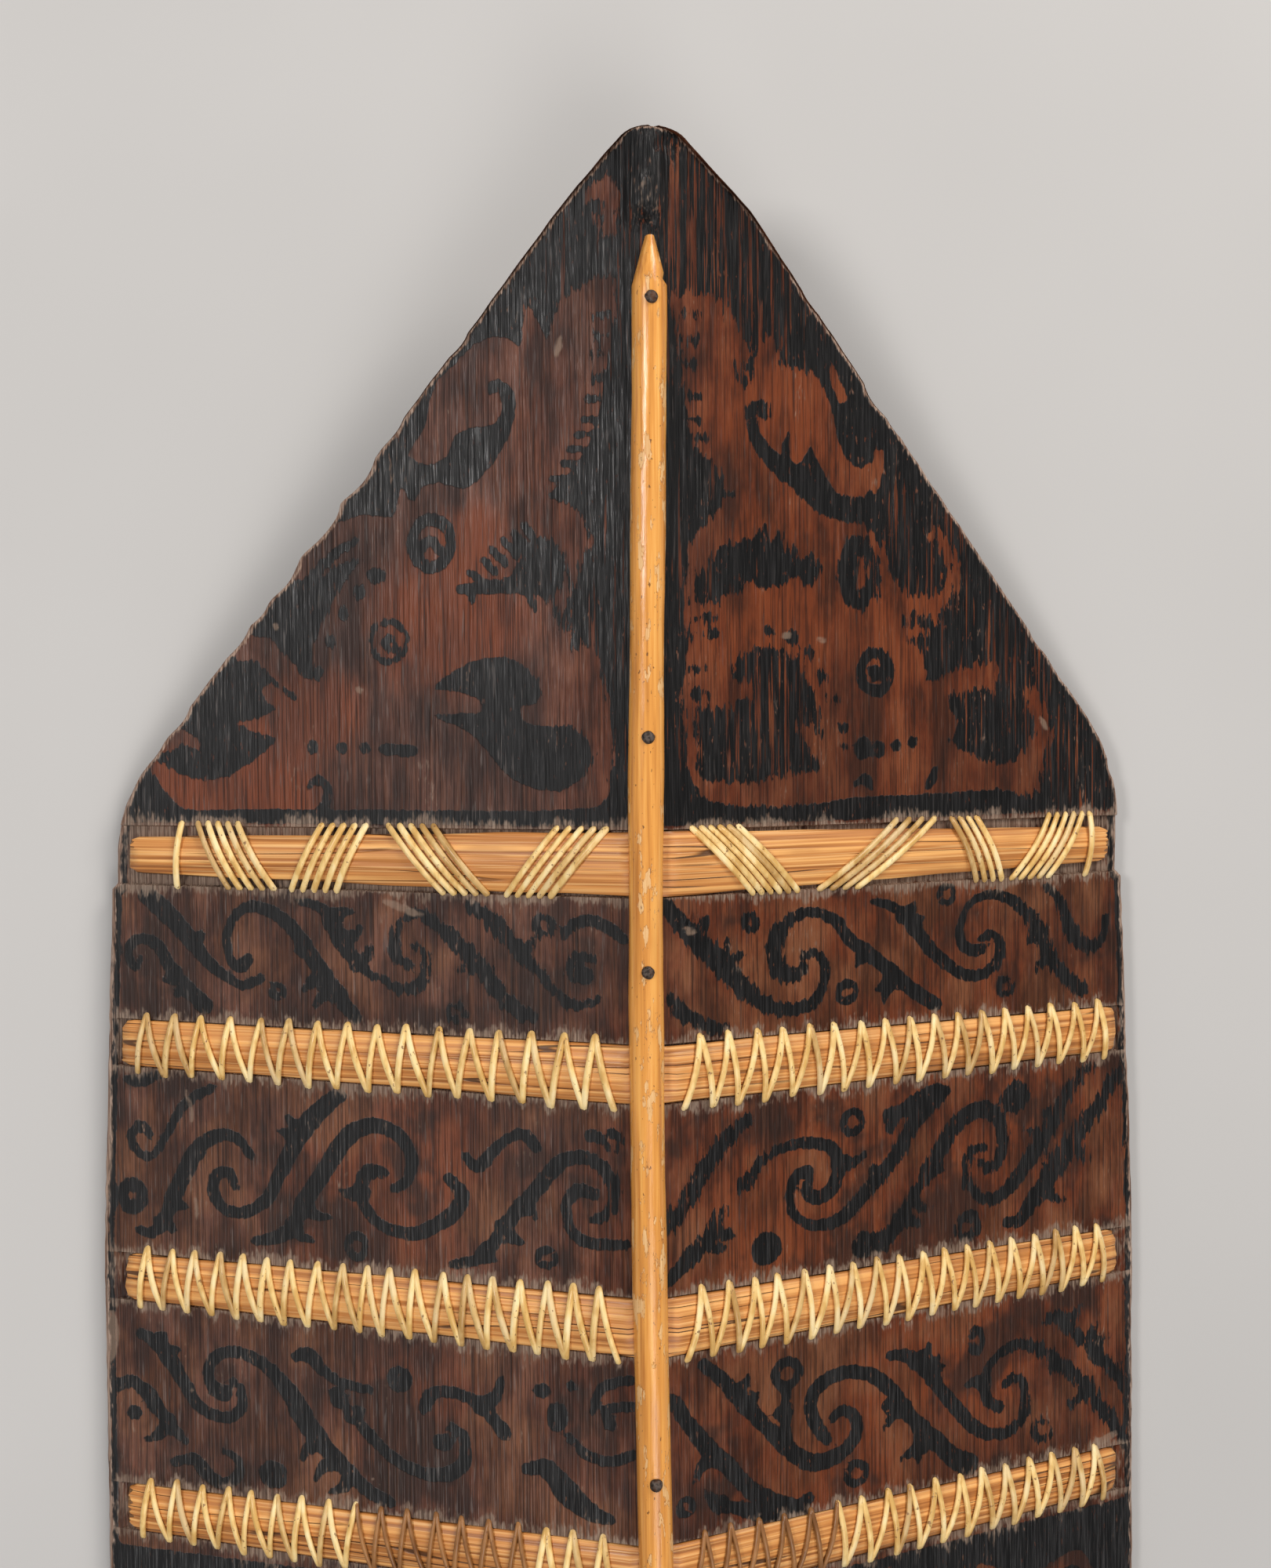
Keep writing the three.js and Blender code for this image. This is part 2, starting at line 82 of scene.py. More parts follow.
# Rounded nose of the ridge past each end of the cane
NOSE_HALF = 10.0
NOSE_HEIGHT = 5.2
NOSE_START = 563.5
NOSE_END = 600.0
NOSE_RISE = 4.0
NOSE_FALL = 0.6
# Share of the dust's colour laid along the nose's crest, a painted sheen on the rounded nose
NOSE_PAINTED_SHEEN = 0.42

# Pits in the worn wood: X, Y, radius, depth
PITS = [
    (7, 594, 2.2, 1.2), (11, 593, 1.8, 1.0), (4, 592.5, 1.4, 0.9), (9.5, 590, 1.5, 0.8),
    (0.5, 583.5, 1.6, 1.1), (-0.5, 566.5, 2.2, 1.6), (15, 323, 2.2, 2.2), (-29, 526, 2.4, 0.6),
    (-101.5, 407, 1.5, 0.5),
]

# Hand grip on the back: middle line in Y and Z, half width in X and half thickness
GRIP_SIDES = 22
GRIP_LINE = [
    (72, 80, 16, 13), (63, 68, 14.5, 10), (58.5, 54, 14, 8.5), (54, 41, 14, 9), (42, 33.5, 13.5, 10.5),
    (20, 32, 13.2, 11.6), (0, 32, 13.5, 11.8),
]

# Ridge cane and its nails
CANE_WIDTH = 12.2
CANE_HEIGHT = 7.5
CANE_HALF_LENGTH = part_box("ridge_cane")[1].y / MM
CANE_POINT = 17.0
POINT_NARROWING = 0.74
POINT_LOWERING = 0.5
POINT_POWER = 1.5
NOTCH_FROM_POINT = 2.0
NOTCH_HALF = 1.2
NOTCH_DEPTH = 1.0
CANE_ROWS = 280
CANE_POINT_ROWS = 9
CANE_COLUMNS = 21
CANE_FULLNESS = 0.8
CANE_SWAY = 1.6
CANE_SWAY_LENGTH = 640.0
CANE_SWAY_PEAK = 290.0
NAIL_ROWS = [540, 389, 307.5, 127.5, 0, -127.5, -307.5, -389, -540]
NAIL_RADIUS = 2.3
NAIL_HEIGHT = 1.5
NAIL_DEPTH = 14.0
NAIL_SHANK = 1.0
NAIL_NECK = 0.3
NAIL_SIDES = 16
# Share of the head's radius and height above the cane, from the rim to the top
NAIL_DOME = [(1.0, -0.25), (0.98, 0.35), (0.85, 0.85), (0.58, 1.25), (0.23, NAIL_HEIGHT)]

# Cross splints and the channels they lie in
BAND_ROWS = [344.5, 270.3, 180.5, 92.0, -92.0, -180.5, -270.3, -344.5]
LEFT_RISES = [0.8, 3.5, 3.3, 2.4, 0.0, 0.0, 0.0, 0.0]
END_BAND = {"half": 191.0, "ridge": 11.5, "tip": 6.75, "channel_half": 215.0, "channel_tip": 11.0}
MIDDLE_BAND = {"half": 195.5, "ridge": 10.3, "tip": 8.6, "channel_half": 196.0, "channel_tip": 8.9}
CHANNEL_DEPTH = 2.0
CHANNEL_GAP = 0.3
SPLINT_CROWN = 2.5
SPLINT_SIDE = 0.2
SPLINT_ROWS = 131
SPLINT_COLUMNS = 27
CROWN_POWER = 2.4
FIBRE_POWER = 8
CANE_CLEARANCE_RUN = 1.5
CANE_CLEARANCE_RISE = 9.0
# Share of the full width and height at a splint's end, and the run in which it grows
END_WIDTH = 0.8
END_WIDTH_RUN = 20.0
END_HEIGHT = 0.45
END_HEIGHT_RUN = 16.0

# Lacing: one strand's section, rows of holes, and stitches left and right of the ridge on each zigzag band
STRAND_WIDTH = 2.5
STRAND_HEIGHT = 1.8
ROW_OFFSET = 3.2
INNER_HOLE = 12.0
OUTER_HOLE = 189.0
TOP_HOLE_SHARE = 0.65
HOLE_WANDER_X = 0.7
HOLE_WANDER_Y = 0.5
STRAND_BOW = 0.035
STRAND_SIDES = 8
BACK_STRAND_SIDES = 6
HOLE_THINNING = 0.72
WIDTH_SPREAD = (0.86, 1.08)
FRESH_TINTS = (0.4, 1.0)
BACK_TINTS = (0.2, 0.5)
STRAND_SEED = 100
HOLE_SEED = 200
STITCHES = [(16, 17), (19, 18), (18, 17), (11, 12), (12, 11), (11, 12)]
# Dark, thin old strands: their band counted from 0, where they are in X, and their width and tints
OLD_BAND = 3
OLD_RUNS = [(-105, -42), (8, 72)]
OLD_WIDTH = 0.75
OLD_TINTS = (0.0, 0.16)
# Share of the way and lift above the board for one leg of lacing, from hole to hole
LEG = [(0.0, -4.0), (0.0, -1.0), (0.03, 0.5), (0.09, 1.15), (0.2, 2.15), (0.34, 3.0), (0.5, 3.3),
       (0.66, 3.0), (0.8, 2.15), (0.91, 1.15), (0.97, 0.5), (1.0, -1.0), (1.0, -4.0)]
BACK_LEG = [(0.0, 4.0), (0.02, -0.4), (0.25, -0.9), (0.75, -0.9), (0.98, -0.4), (1.0, 4.0)]
# Slanting groups on the end bands: outer row from and to, inner row from and to, number of strands
GROUP_ROW = 13.0
INNER_GROUP_ROW = GROUP_ROW - 0.6
GROUPS = [
    (-169.8, -169.8, -172, -172, 1), (-163.8, -148.5, -151.6, -134.2, 5), (-116, -99.7, -128.3, -111.5, 5),
    (-92.1, -75.8, -71.4, -55.8, 5), (-31.3, -14.3, -50, -34.6, 5), (14.8, 32.3, 39.1, 56.6, 6),
    (97.2, 113.3, 63.9, 79.3, 4), (119.7, 130.5, 130.9, 142.2, 4), (163.9, 179.2, 145.9, 162.4, 5),
    (182.3, 182.3, 180, 180, 1),
]

# Dust along the splints, past their ends and around the holes
DUST_REACH = 5.0
DUST_LEAST_REACH = 1.4
DUST_SHARE = 0.95
DUST_FALL = 0.8
END_DUST = 0.42
HOLE_DUST = 1.05
HOLE_DUST_RADIUS = 2.6

# Unevenness is a sum of this many waves, divided to calm it
WAVES = 7
WAVE_CALM = 4
# Kinds of it on hand work: height or share, size of the bumps and seed
RIM_RAGGED = (0.25, 9, 3)
RIM_WAVE = (0.2, 37, 4)
FACE_WAVE = (0.22, 150, 5)
FACE_PLANED = (0.1, 22, 6)
NOSE_LUMPS = (0.1, 7, 7)
GRIP_LUMPS = (0.03, 26, 8)
BACK_MARKS = (0.35, 45, 9)
CANE_WIDTH_WAVE = (0.025, 60, 11)
CANE_HEIGHT_WAVE = (0.03, 45, 12)
CANE_SKIN = (0.012, 14, 13)
NAIL_WEAR = (0.07, 5, 20)
DUST_WAVE = (3.0, 23, 40)
END_DUST_WAVE = (0.3, 13, 50)
SPLINT_RAGGED_END = (0.008, 3.2, 60)
SPLINT_WIDTH_WAVE = (0.03, 50, 70)
SPLINT_FIBRE = (0.14, 2.1, 80)
SPLINT_WAVE = (0.1, 5, 90)
# How unevenness is stretched: slower along the grain, or across it for the marks on the back
PLANED_ALONG = 0.35
LUMPS_ALONG = 0.5
MARKS_ACROSS = 0.5
FIBRE_ALONG = 0.02
WAVE_ALONG = 0.1
FIBRES_ACROSS = 10
END_ACROSS = 8
SKIN_ACROSS = 40
WEAR_AROUND = 3
# Where each unevenness is read, so that the two sides, the two ends and the bands differ
RAGGED_LINE = 50.0
WAVE_LINE = 90.0
HEIGHT_LINE = 5.0
END_LINE = 30
BAND_LINE = 20

# Painted ornament of the upper half, X and Y. A closed outline is a list of points, and a stroke is its
# widths along the way followed by its points. The lower half mirrors the main forms.
GROUND_LINE = 357.6
CENTRE_LINE = 79.0
RIM_PAINT = 4.5
SPREAD = 0.35

LEFT_FIGURE = [
    (-10, 548), (-20, 548.5), (-26, 544), (-31, 538), (-34, 529), (-37, 536), (-41, 541), (-43, 527),
    (-47, 530), (-53, 531), (-60, 528), (-66, 522), (-72, 517), (-75, 510), (-77, 500), (-83, 491),
    (-76, 487), (-69, 490), (-66, 497), (-60, 499.5), (-53, 500), (-49.5, 505), (-50.5, 511), (-54, 511),
    (-54, 515), (-50, 516), (-45.5, 512), (-44.5, 506), (-47, 496), (-54, 485), (-61, 478.5), (-65, 478),
    (-72, 480.5), (-78, 479), (-81.5, 473.5), (-86, 479.5), (-88.5, 469), (-100, 470), (-112, 466.5),
    (-121, 459), (-127, 449), (-122, 447), (-118, 452), (-110, 459), (-104, 461.5), (-100, 462),
    (-103, 459), (-110, 454), (-115, 448.5), (-108, 452.5), (-103, 454.5), (-100, 454), (-104, 450),
    (-108, 444), (-112, 437), (-116, 429), (-119, 421), (-118.5, 414.5), (-115.5, 416), (-114.5, 413),
    (-117, 410.5), (-121, 410.5), (-125, 415), (-130, 421), (-135, 425.5), (-141, 427), (-148, 427.5),
    (-150, 423), (-147, 418), (-142, 418.5), (-137, 415), (-131.5, 409), (-127, 406.5), (-124.5, 404.5),
    (-127, 403.5), (-134, 409.5), (-139, 407), (-136, 402.5), (-132, 400.5), (-140, 396.5), (-149, 395),
    (-142, 392), (-133, 389), (-140, 382), (-150, 376), (-158, 373.5), (-165, 374), (-172, 377),
    (-180, 381), (-182, 378), (-178, 372), (-173, 366), (-167, 362.5), (-140, 363), (-90, 363), (-40, 363),
    (-17, 365), (-13, 375), (-12, 388), (-14, 403), (-17, 419), (-24, 424), (-28, 432), (-26, 441),
    (-22, 450), (-19, 458), (-22, 465), (-27, 471), (-34, 474), (-27, 481), (-20, 491), (-15, 508),
    (-12, 530),
]
RIGHT_FIGURE = [
    (10, 542), (20, 544), (28, 541), (33, 536), (37, 530), (40, 526), (43, 530), (49, 532), (49.5, 522),
    (55, 520.5), (62, 520), (67, 515), (70.5, 508), (72.5, 498), (76, 490), (82, 487), (87, 490), (88, 494),
    (91.5, 494), (92, 487), (89, 480), (84, 477), (76, 476.5), (71, 479), (67, 485), (64.5, 489),
    (62, 493.5), (59.5, 490), (56.5, 486.5), (54, 489), (53.5, 494), (54.8, 500), (51.5, 495), (50, 488),
    (48, 484.5), (51, 481), (57, 475.5), (65, 470), (75, 467), (85, 465), (90, 460), (93, 452), (97, 446),
    (104, 441.5), (109, 441), (115, 443), (118, 451), (115, 459), (110, 463), (111, 465.5), (117, 464),
    (122.5, 457), (124, 448), (121, 440), (115, 435), (112, 430), (108, 425), (109, 417), (109, 409),
    (113, 409), (120, 412), (128, 414.5), (136, 415), (140, 413), (138.5, 405), (133, 407), (126, 405),
    (119, 402.5), (120, 397), (123, 393), (121, 389), (118.5, 386.5), (125, 383), (132, 379.5),
    (140, 377.5), (148, 378.5), (153, 382), (157, 388), (157.5, 394), (154, 401), (153.5, 405.5),
    (158.5, 404), (163.5, 397.5), (164.5, 388), (160.5, 379), (159, 370), (156, 364.5), (140, 367.5),
    (120, 366.5), (80, 366), (65, 364), (45, 363.5), (22, 366), (14, 378), (13, 400), (14, 420), (13, 440),
    (15, 452), (17, 459), (22, 465), (26.5, 470), (27.5, 478), (26, 485), (20, 488), (15, 493), (15, 505),
    (13, 520), (11, 532),
]
BARE_AREAS = [
    LEFT_FIGURE, RIGHT_FIGURE,
    [(-11, 584), (-17, 582), (-21, 577), (-17, 568), (-12, 561), (-10, 570)],
    [(69, 525), (73, 521), (77, 512), (74, 510), (70, 517)],
]
BARE_STROKES = [
    ((3, 5, 4, 3), (-176, 386), (-170, 390), (-164, 387)),
]
# Mouths and brows
DARK_AREAS = [
    [(-75, 407), (-66, 414), (-57, 417.5), (-48, 417.5), (-40, 412), (-36, 405), (-39, 401), (-44, 400),
     (-43, 395), (-35, 393), (-27, 393), (-21, 389), (-19, 383), (-22, 376), (-30, 370), (-40, 371),
     (-48, 375), (-55, 383), (-60, 389), (-66, 393), (-75, 397), (-66, 398), (-58, 398), (-59, 403),
     (-66, 405.5)],
    [(31, 409), (33, 415), (40, 420.5), (48, 421), (55, 418), (60, 410), (64, 400), (67, 388), (60, 393),
     (56, 392), (60, 386), (66, 376), (55, 375), (45, 373), (35, 372), (25, 373), (18, 376), (18, 398),
     (26, 399), (33, 400), (38, 404), (36, 409)],
    [(-66, 443.5), (-56, 445), (-47, 446.5), (-44, 452), (-41, 458), (-36, 460), (-31, 457), (-28, 451),
     (-29, 444), (-32, 438.5), (-44, 440), (-65, 440.5)],
    [(20, 448), (26, 455), (33, 458), (40, 461), (44, 464), (46, 459), (50, 462), (52, 456), (56, 457),
     (58, 453), (63, 455), (66, 450), (64, 445), (60, 442), (56, 446), (50, 443), (44, 442), (38, 444),
     (33, 440), (22, 435), (18, 441)],
]
DARK_STROKES = [
    ((3, 2.2), (-38, 458), (-42, 464)), ((3, 2.2), (-42, 456), (-46, 461.5)),
    ((3, 2.2), (-45, 454), (-49.5, 459)), ((2.6, 2.2), (-49, 451), (-53.5, 456)),
    ((2.6, 2.2), (-52.5, 448), (-57, 452.5)), ((2.4, 2), (-57, 444.5), (-61.5, 448)),
    ((2, 1.5), (-60, 442), (-61, 437.5)), ((2.5, 2), (-33, 440), (-33, 433)),
    ((3, 2), (-40, 441), (-39, 435)), ((2, 3), (-28, 432), (-28, 427)),
    ((1.6, 2), (-24, 425), (-24.5, 421)), ((2, 3, 2.5), (-79, 451), (-79, 457), (-75, 460), (-72, 456)),
    ((1, 1.6, 2, 2), (-88, 421), (-89.5, 425.5), (-92.5, 423.5), (-91, 421)),
    ((1.5, 2.5, 3, 1.5), (-121, 371), (-118, 374.5), (-114, 371), (-115, 365), (-119, 362)),
    ((7, 5, 3.5, 3, 3), (52, 484), (46, 489), (41, 495), (38.5, 501), (40, 506), (44, 507), (44.5, 503.5)),
    ((3, 4, 3), (78, 441), (79, 447), (80, 453)), ((2, 3, 2), (80, 371), (84, 373), (86, 369)),
    ((2, 3, 1.5), (110, 369), (112, 372), (113, 376)), ((3, 5, 4), (102, 430), (105, 432), (109, 431)),
    ((3, 4, 2), (-20, 573), (-17, 574), (-16, 569)), ((3, 4, 2), (103, 424), (107, 424), (109, 420)),
]
DARK_RINGS = [
    (-75, 459, 7, 8.5, 3.2), (-91, 424, 6.8, 7.2, 1.4), (36.5, 518, 2.2, 3.2, 1.8),
    (81.5, 448.5, 6.3, 9.6, 4.8), (88, 412, 6, 7, 3.2),
]
DARK_DOTS = [
    (-95, 448, 3.2, 2.8), (-101, 442, 2.4, 2.4), (-107, 434.5, 2.2, 2.2), (-112.5, 424.5, 1.9, 1.9),
    (-119.5, 386, 1.8, 2.4), (-108.5, 385.5, 1.8, 1.8), (-100, 385.5, 1.9, 1.9), (-91.5, 385, 3, 2),
    (-85, 384.5, 4, 2), (88, 412, 2.8, 2.8), (45, 426.5, 1.6, 1.6), (54, 425, 2, 2), (61, 419, 1.9, 1.9),
    (66, 410, 2.1, 2.1), (71, 402, 1.9, 1.9), (75, 391.5, 1.4, 1.4), (75, 384.5, 1.4, 1.4),
    (82.5, 384, 3.3, 4), (89, 383.5, 2.5, 3.1), (96.5, 385, 1.9, 2.1), (103.5, 386, 1.8, 2),
]

# Short teeth along the inner border of each figure, from the border outwards
BORDER_TEETH = [
    (-16, 536), (-16, 529), (-16.5, 522), (-18, 514), (-19.5, 507), (-21, 500), (-23.5, 495), (-26, 490),
    (-28.5, 485), (-32, 480), (17.5, 537), (18, 528), (18, 519), (19, 508), (19.5, 500), (21, 494),
    (31, 475), (21, 437), (23, 431), (26, 425), (20, 413), (20, 404),
]
TOOTH = 4.5
TOOTH_WIDTHS = (1.4, 2.2)

# Hooked scrolls in the three panels between the splints, from the end panel down, left to right
SCROLLS = [
    ((2, 3, 3.5, 4.5, 6), (-187, 306), (-189, 302.4), (-192, 306.7), (-190.4, 311.7), (-186, 313.5),
     (-180, 311), (-175, 302.5), (-169, 295.3), (-162, 289)),
    ((7, 7, 4.5, 3, 3), (-184, 330), (-178, 325), (-170, 317), (-162, 307), (-155, 301), (-147, 297),
     (-140, 300)),
    ((4, 3, 3, 4, 5, 6, 5), (-145, 307), (-148, 303.5), (-152, 307), (-153, 316), (-149, 324), (-143, 327),
     (-135, 324.5), (-128, 319), (-121, 309), (-115, 300), (-109, 292), (-105, 287)),
    ((2, 4, 6, 3), (-126, 329), (-118, 327.5), (-114, 323), (-111, 317), (-106.5, 310), (-98, 302)),
    ((4, 3, 3, 4, 6, 5, 4), (-85, 307), (-89, 309), (-90.5, 314), (-89, 321), (-83, 325.5), (-77, 323.5),
     (-70, 317.5), (-61, 309), (-51, 296), (-45, 291), (-40, 289.5)),
    ((2, 4, 3, 2), (-95, 302), (-89.7, 298), (-82.6, 298.5), (-78.6, 303), (-78.5, 310), (-82, 314)),
    ((4, 6, 4, 2.5, 3, 2), (-63, 329), (-55.5, 324), (-49.5, 317.5), (-42.5, 310), (-35.5, 302), (-30, 296),
     (-24, 294), (-18, 297)),
    ((6, 4, 3, 3), (-23, 305), (-27, 307), (-26, 312), (-20, 311)),
    ((2, 3.5, 4, 3), (-30, 319), (-24, 324), (-17, 323.5), (-9, 318)),
    ((5, 7, 6, 4, 4, 3, 2.5), (5.5, 330), (15.5, 318), (26, 308), (34.5, 299), (43, 292), (53, 289.5),
     (61.5, 291), (66.5, 297.5), (67, 305), (63, 309.5), (58.5, 308.5)),
    ((3, 6, 5, 3, 4, 5, 5, 5), (59, 304), (54, 301.5), (48.6, 304), (46.8, 311.5), (49, 318.5),
     (55.5, 323.5), (63, 324.3), (71, 321), (76, 314.5), (82, 309.5), (89, 304.5), (97, 297.5),
     (105.7, 291), (113, 286.5)),
    ((2.5, 4, 5, 4, 4, 3.5, 2.5), (87, 327), (94, 325), (100, 320.5), (105.5, 314), (111.5, 307),
     (118.5, 301), (126, 296.7), (134, 296.7), (140, 301), (141.3, 307.5), (137, 311.5), (132.5, 310)),
    ((4, 4, 2, 3, 4, 6, 5, 6), (133.5, 306), (128.5, 306), (124, 309.5), (123.8, 316), (127, 323),
     (131.5, 326), (138, 327), (145, 325), (151.5, 321), (157, 314.5), (161, 307), (165, 299), (171.5, 293),
     (178, 287)),
    ((3, 4, 6, 4, 2.5), (162, 329), (168.5, 323), (171.5, 316), (176, 308), (183, 303.5), (188.5, 307.5),
     (190, 315)),
    ((4, 5, 4), (6.5, 297), (13, 290), (26, 284.5)),
    ((3, 5, 3), (-193, 259), (-187, 259.5), (-180, 262)),
    ((3, 3, 2.5, 2.5, 3.5, 3), (-184.5, 239), (-188, 242.5), (-192, 238), (-189.5, 232), (-184.5, 230),
     (-180, 235), (-176.5, 241.5), (-172, 249), (-166, 254.5), (-159, 258)),
    ((3, 4, 6, 6, 4, 3), (-189, 202), (-184, 201), (-179.5, 206), (-176, 214), (-172, 222.5), (-168, 230.5),
     (-163, 237), (-156, 240.4), (-149.5, 239), (-145, 233)),
    ((3, 4, 4, 4, 5, 7, 5), (-151, 221), (-154, 226.5), (-159, 224), (-159.5, 217), (-154, 211.5),
     (-146, 212), (-139, 217), (-134, 227), (-129, 237), (-123, 246.5), (-117.5, 252.5), (-111, 258)),
    ((3, 5, 6, 6, 5, 4, 3), (-144, 201), (-135, 203), (-129, 208), (-124, 218.5), (-117.5, 228.5),
     (-111.5, 238), (-106, 244.5), (-97.5, 247.3), (-89, 244), (-84.5, 236), (-86.5, 227.5), (-91, 224.5)),
    ((4, 4.5, 3.5, 4, 5, 5, 4), (-95, 230), (-100.5, 230.5), (-103.3, 224), (-102, 216.5), (-95, 210),
     (-85, 208), (-77, 211.5), (-69.5, 217), (-66.5, 223.5), (-71, 229.5)),
    ((3, 4, 3, 4), (-65, 238), (-60.5, 234), (-56, 239.5), (-50.5, 245), (-44.5, 247.5), (-40, 243)),
    ((3, 4, 5, 5, 4, 4, 3), (-70, 198), (-60.5, 201), (-54.5, 208.5), (-48.5, 217.5), (-42, 225),
     (-36.5, 232), (-31.5, 238), (-25, 240.4), (-17.5, 238), (-13, 230.5), (-14.6, 222), (-20, 218)),
    ((4, 4, 3, 4, 3), (-20, 227), (-25, 229), (-29.5, 223), (-28, 214), (-21.5, 209.7), (-9, 210)),
    ((4, 6, 5, 3), (5.5, 197), (14, 204), (21.5, 211), (26.5, 219.5)),
    ((5, 6, 6, 4), (4.5, 215), (11.5, 224), (18.5, 234), (26, 243), (36, 251)),
    ((2.5, 3, 4, 5, 5, 3), (35, 228), (40, 234), (47, 238.5), (56, 240), (64.5, 239), (70.5, 235.5),
     (72.5, 228.5), (69, 221.5), (63.5, 219), (59, 222), (60.5, 225.5)),
    ((4, 3, 3, 5, 5, 6, 5), (60, 229.5), (55, 228.5), (52.3, 222.5), (53.5, 215), (60.5, 209.5),
     (70, 209.2), (78.5, 214), (86, 221), (93, 227.5), (98.5, 234.5), (104, 242.5), (116, 252)),
    ((3, 7, 6, 3), (94, 246), (103, 248.5), (112, 253), (118, 253)),
    ((9, 5, 5, 6, 6, 5, 4, 3), (82, 198.5), (91, 199), (97, 205.5), (103, 214), (109, 222.5), (114.5, 230),
     (120.5, 238), (127, 243), (134.3, 244.5), (140.5, 239.5), (142.5, 231), (140.5, 224), (136, 220.5),
     (133, 224)),
    ((3, 4, 3, 5, 6, 6, 5), (134, 229.5), (129, 229), (126.6, 223.5), (127, 216.5), (131.5, 210.5),
     (138.5, 209), (145.5, 212.5), (153, 220.5), (160, 229), (166.5, 237.5), (173, 247), (181, 255)),
    ((3, 6, 8, 7, 5), (143, 199), (150, 199), (157, 207), (166, 217.5), (175.5, 229.5), (185.5, 239),
     (195, 251)),
    ((4, 6, 5, 4, 4, 3, 2), (-189, 162), (-182, 158.5), (-177, 151.5), (-172, 144), (-168, 137.5),
     (-162, 133.5), (-154.5, 133), (-150, 137), (-149.8, 144), (-153.7, 147.5)),
    ((6, 4, 4, 4, 5, 8, 6, 5, 4), (-156.5, 142), (-161, 144), (-162.8, 150), (-159.3, 156), (-152.3, 158.3),
     (-143.7, 156), (-136.5, 151), (-130, 143), (-124, 133), (-116.5, 124.5), (-109.5, 117.5),
     (-101, 110.5), (-94, 108)),
    ((3, 4, 6, 5, 3), (-199, 140), (-193.5, 143.3), (-187, 139), (-182, 132.5), (-172.5, 122)),
    ((3, 5, 4, 3, 2), (-176.5, 113.5), (-169, 115.5), (-163.5, 110), (-157, 107), (-151.3, 111.5),
     (-151.8, 117.5), (-157, 120)),
    ((4, 5, 3, 3), (-128.5, 159), (-123.5, 160), (-119, 155), (-111, 150.5), (-101.5, 149)),
    ((3, 4, 4, 5, 4, 3), (-115, 147), (-108, 139.5), (-101, 132), (-91, 123.5), (-79.5, 120), (-71, 121.5),
     (-66.3, 127), (-66.8, 135), (-71.5, 138.5)),
    ((4, 4, 3.5, 5), (-81, 144), (-79, 149), (-74, 151.2), (-67, 150.5), (-59.5, 146.5), (-52, 138)),
    ((4, 6, 9, 6, 3), (-44, 126), (-37, 127), (-30, 119), (-22, 113), (-15, 111)),
    ((2.5, 3.5, 3.5), (-30, 140), (-23.5, 133.5), (-15, 132), (-7.5, 135)),
    ((2, 3, 3), (-21, 149), (-18, 158), (-8, 162)),
    ((4, 3, 3.5), (-15, 145), (-16, 150.5), (-8, 152.3)),
    ((4, 5, 5, 6, 5, 4, 3), (18.5, 165), (26, 158), (34.5, 147.5), (43, 137.5), (49, 130.5), (57, 123),
     (65.7, 120.5), (74, 123), (79, 128.5), (78.3, 135), (73, 138.5), (69.5, 136)),
    ((4, 5, 5, 4.5, 5, 5, 6, 8), (67, 128.5), (63, 134), (60.3, 141.5), (62, 147.5), (68.5, 151.5),
     (76.5, 152.2), (85, 149.5), (92, 144), (98.5, 135), (105.5, 126.3), (113, 119), (120, 111.5),
     (127, 107)),
    ((5, 5, 6, 6, 5, 7, 5), (7, 154), (14.3, 142.5), (21.5, 133), (28.5, 125.7), (35, 117.5), (42, 111.5),
     (57, 104.5)),
    ((3, 6, 3), (25, 113), (40, 107), (55, 102)),
    ((3, 3.5, 4), (50.8, 150), (50.2, 141), (51, 131)),
    ((3, 5, 5, 5, 4, 4, 3, 3), (93, 155.3), (100, 154.3), (108.5, 147.5), (114.5, 139), (121.5, 130.3),
     (127, 123.5), (134.3, 118), (143, 116.3), (149.7, 119.3), (152.6, 126), (151.3, 134), (147, 137.5),
     (143.3, 135)),
    ((4, 4, 3, 4, 5, 5, 5, 5), (141, 127), (136, 130), (133.8, 137.4), (137, 144.5), (143, 148.8),
     (151.3, 150), (158.5, 147), (165.7, 141.5), (173, 135.3), (181, 128), (187, 119), (194.3, 110.3),
     (198.5, 103)),
    ((3, 5, 4, 5, 4), (161.5, 157.5), (168.5, 157.5), (177, 149), (185.5, 140.5), (193, 133), (199, 125.5)),
]
# Thorns that grow from the scrolls: widths from root to point, bend, and the points themselves
THORN_WIDTHS = (6.5, 3.6, 1.5)
THORN_BEND = 0.16
THORNS = [
    (-178, 298), (-173, 292), (-162, 317), (-127, 310), (-124, 296), (-120, 290), (-105, 326), (-102, 320),
    (-99, 313), (-67, 305), (-40, 318), (28, 316), (34, 311), (21, 325), (80, 303), (88, 294), (91, 289),
    (104, 326), (108, 320), (154, 307), (158, 297), (-175, 202), (-170, 212), (-134, 243), (-131, 249),
    (-122, 203), (-115, 212), (-111, 222), (-55, 201), (-45, 208), (-40, 217), (30.5, 210), (27, 205),
    (33, 226), (83, 233), (85, 227), (93, 240), (117, 222), (110, 209), (105, 203), (153, 234), (161, 240),
    (181, 218), (170, 204), (-180, 163), (-174, 157), (-127, 120), (-122, 113), (-116, 109), (-104, 142),
    (-111, 145), (-188, 121), (36, 158), (39, 151), (46, 142), (90, 135), (91, 128), (98, 115), (104, 112),
    (15, 123), (20, 119), (110, 157), (114, 152), (116, 147), (126, 138), (163, 134), (174, 122),
    (178, 161), (185, 152), (191, 146), (-53, 159),
]
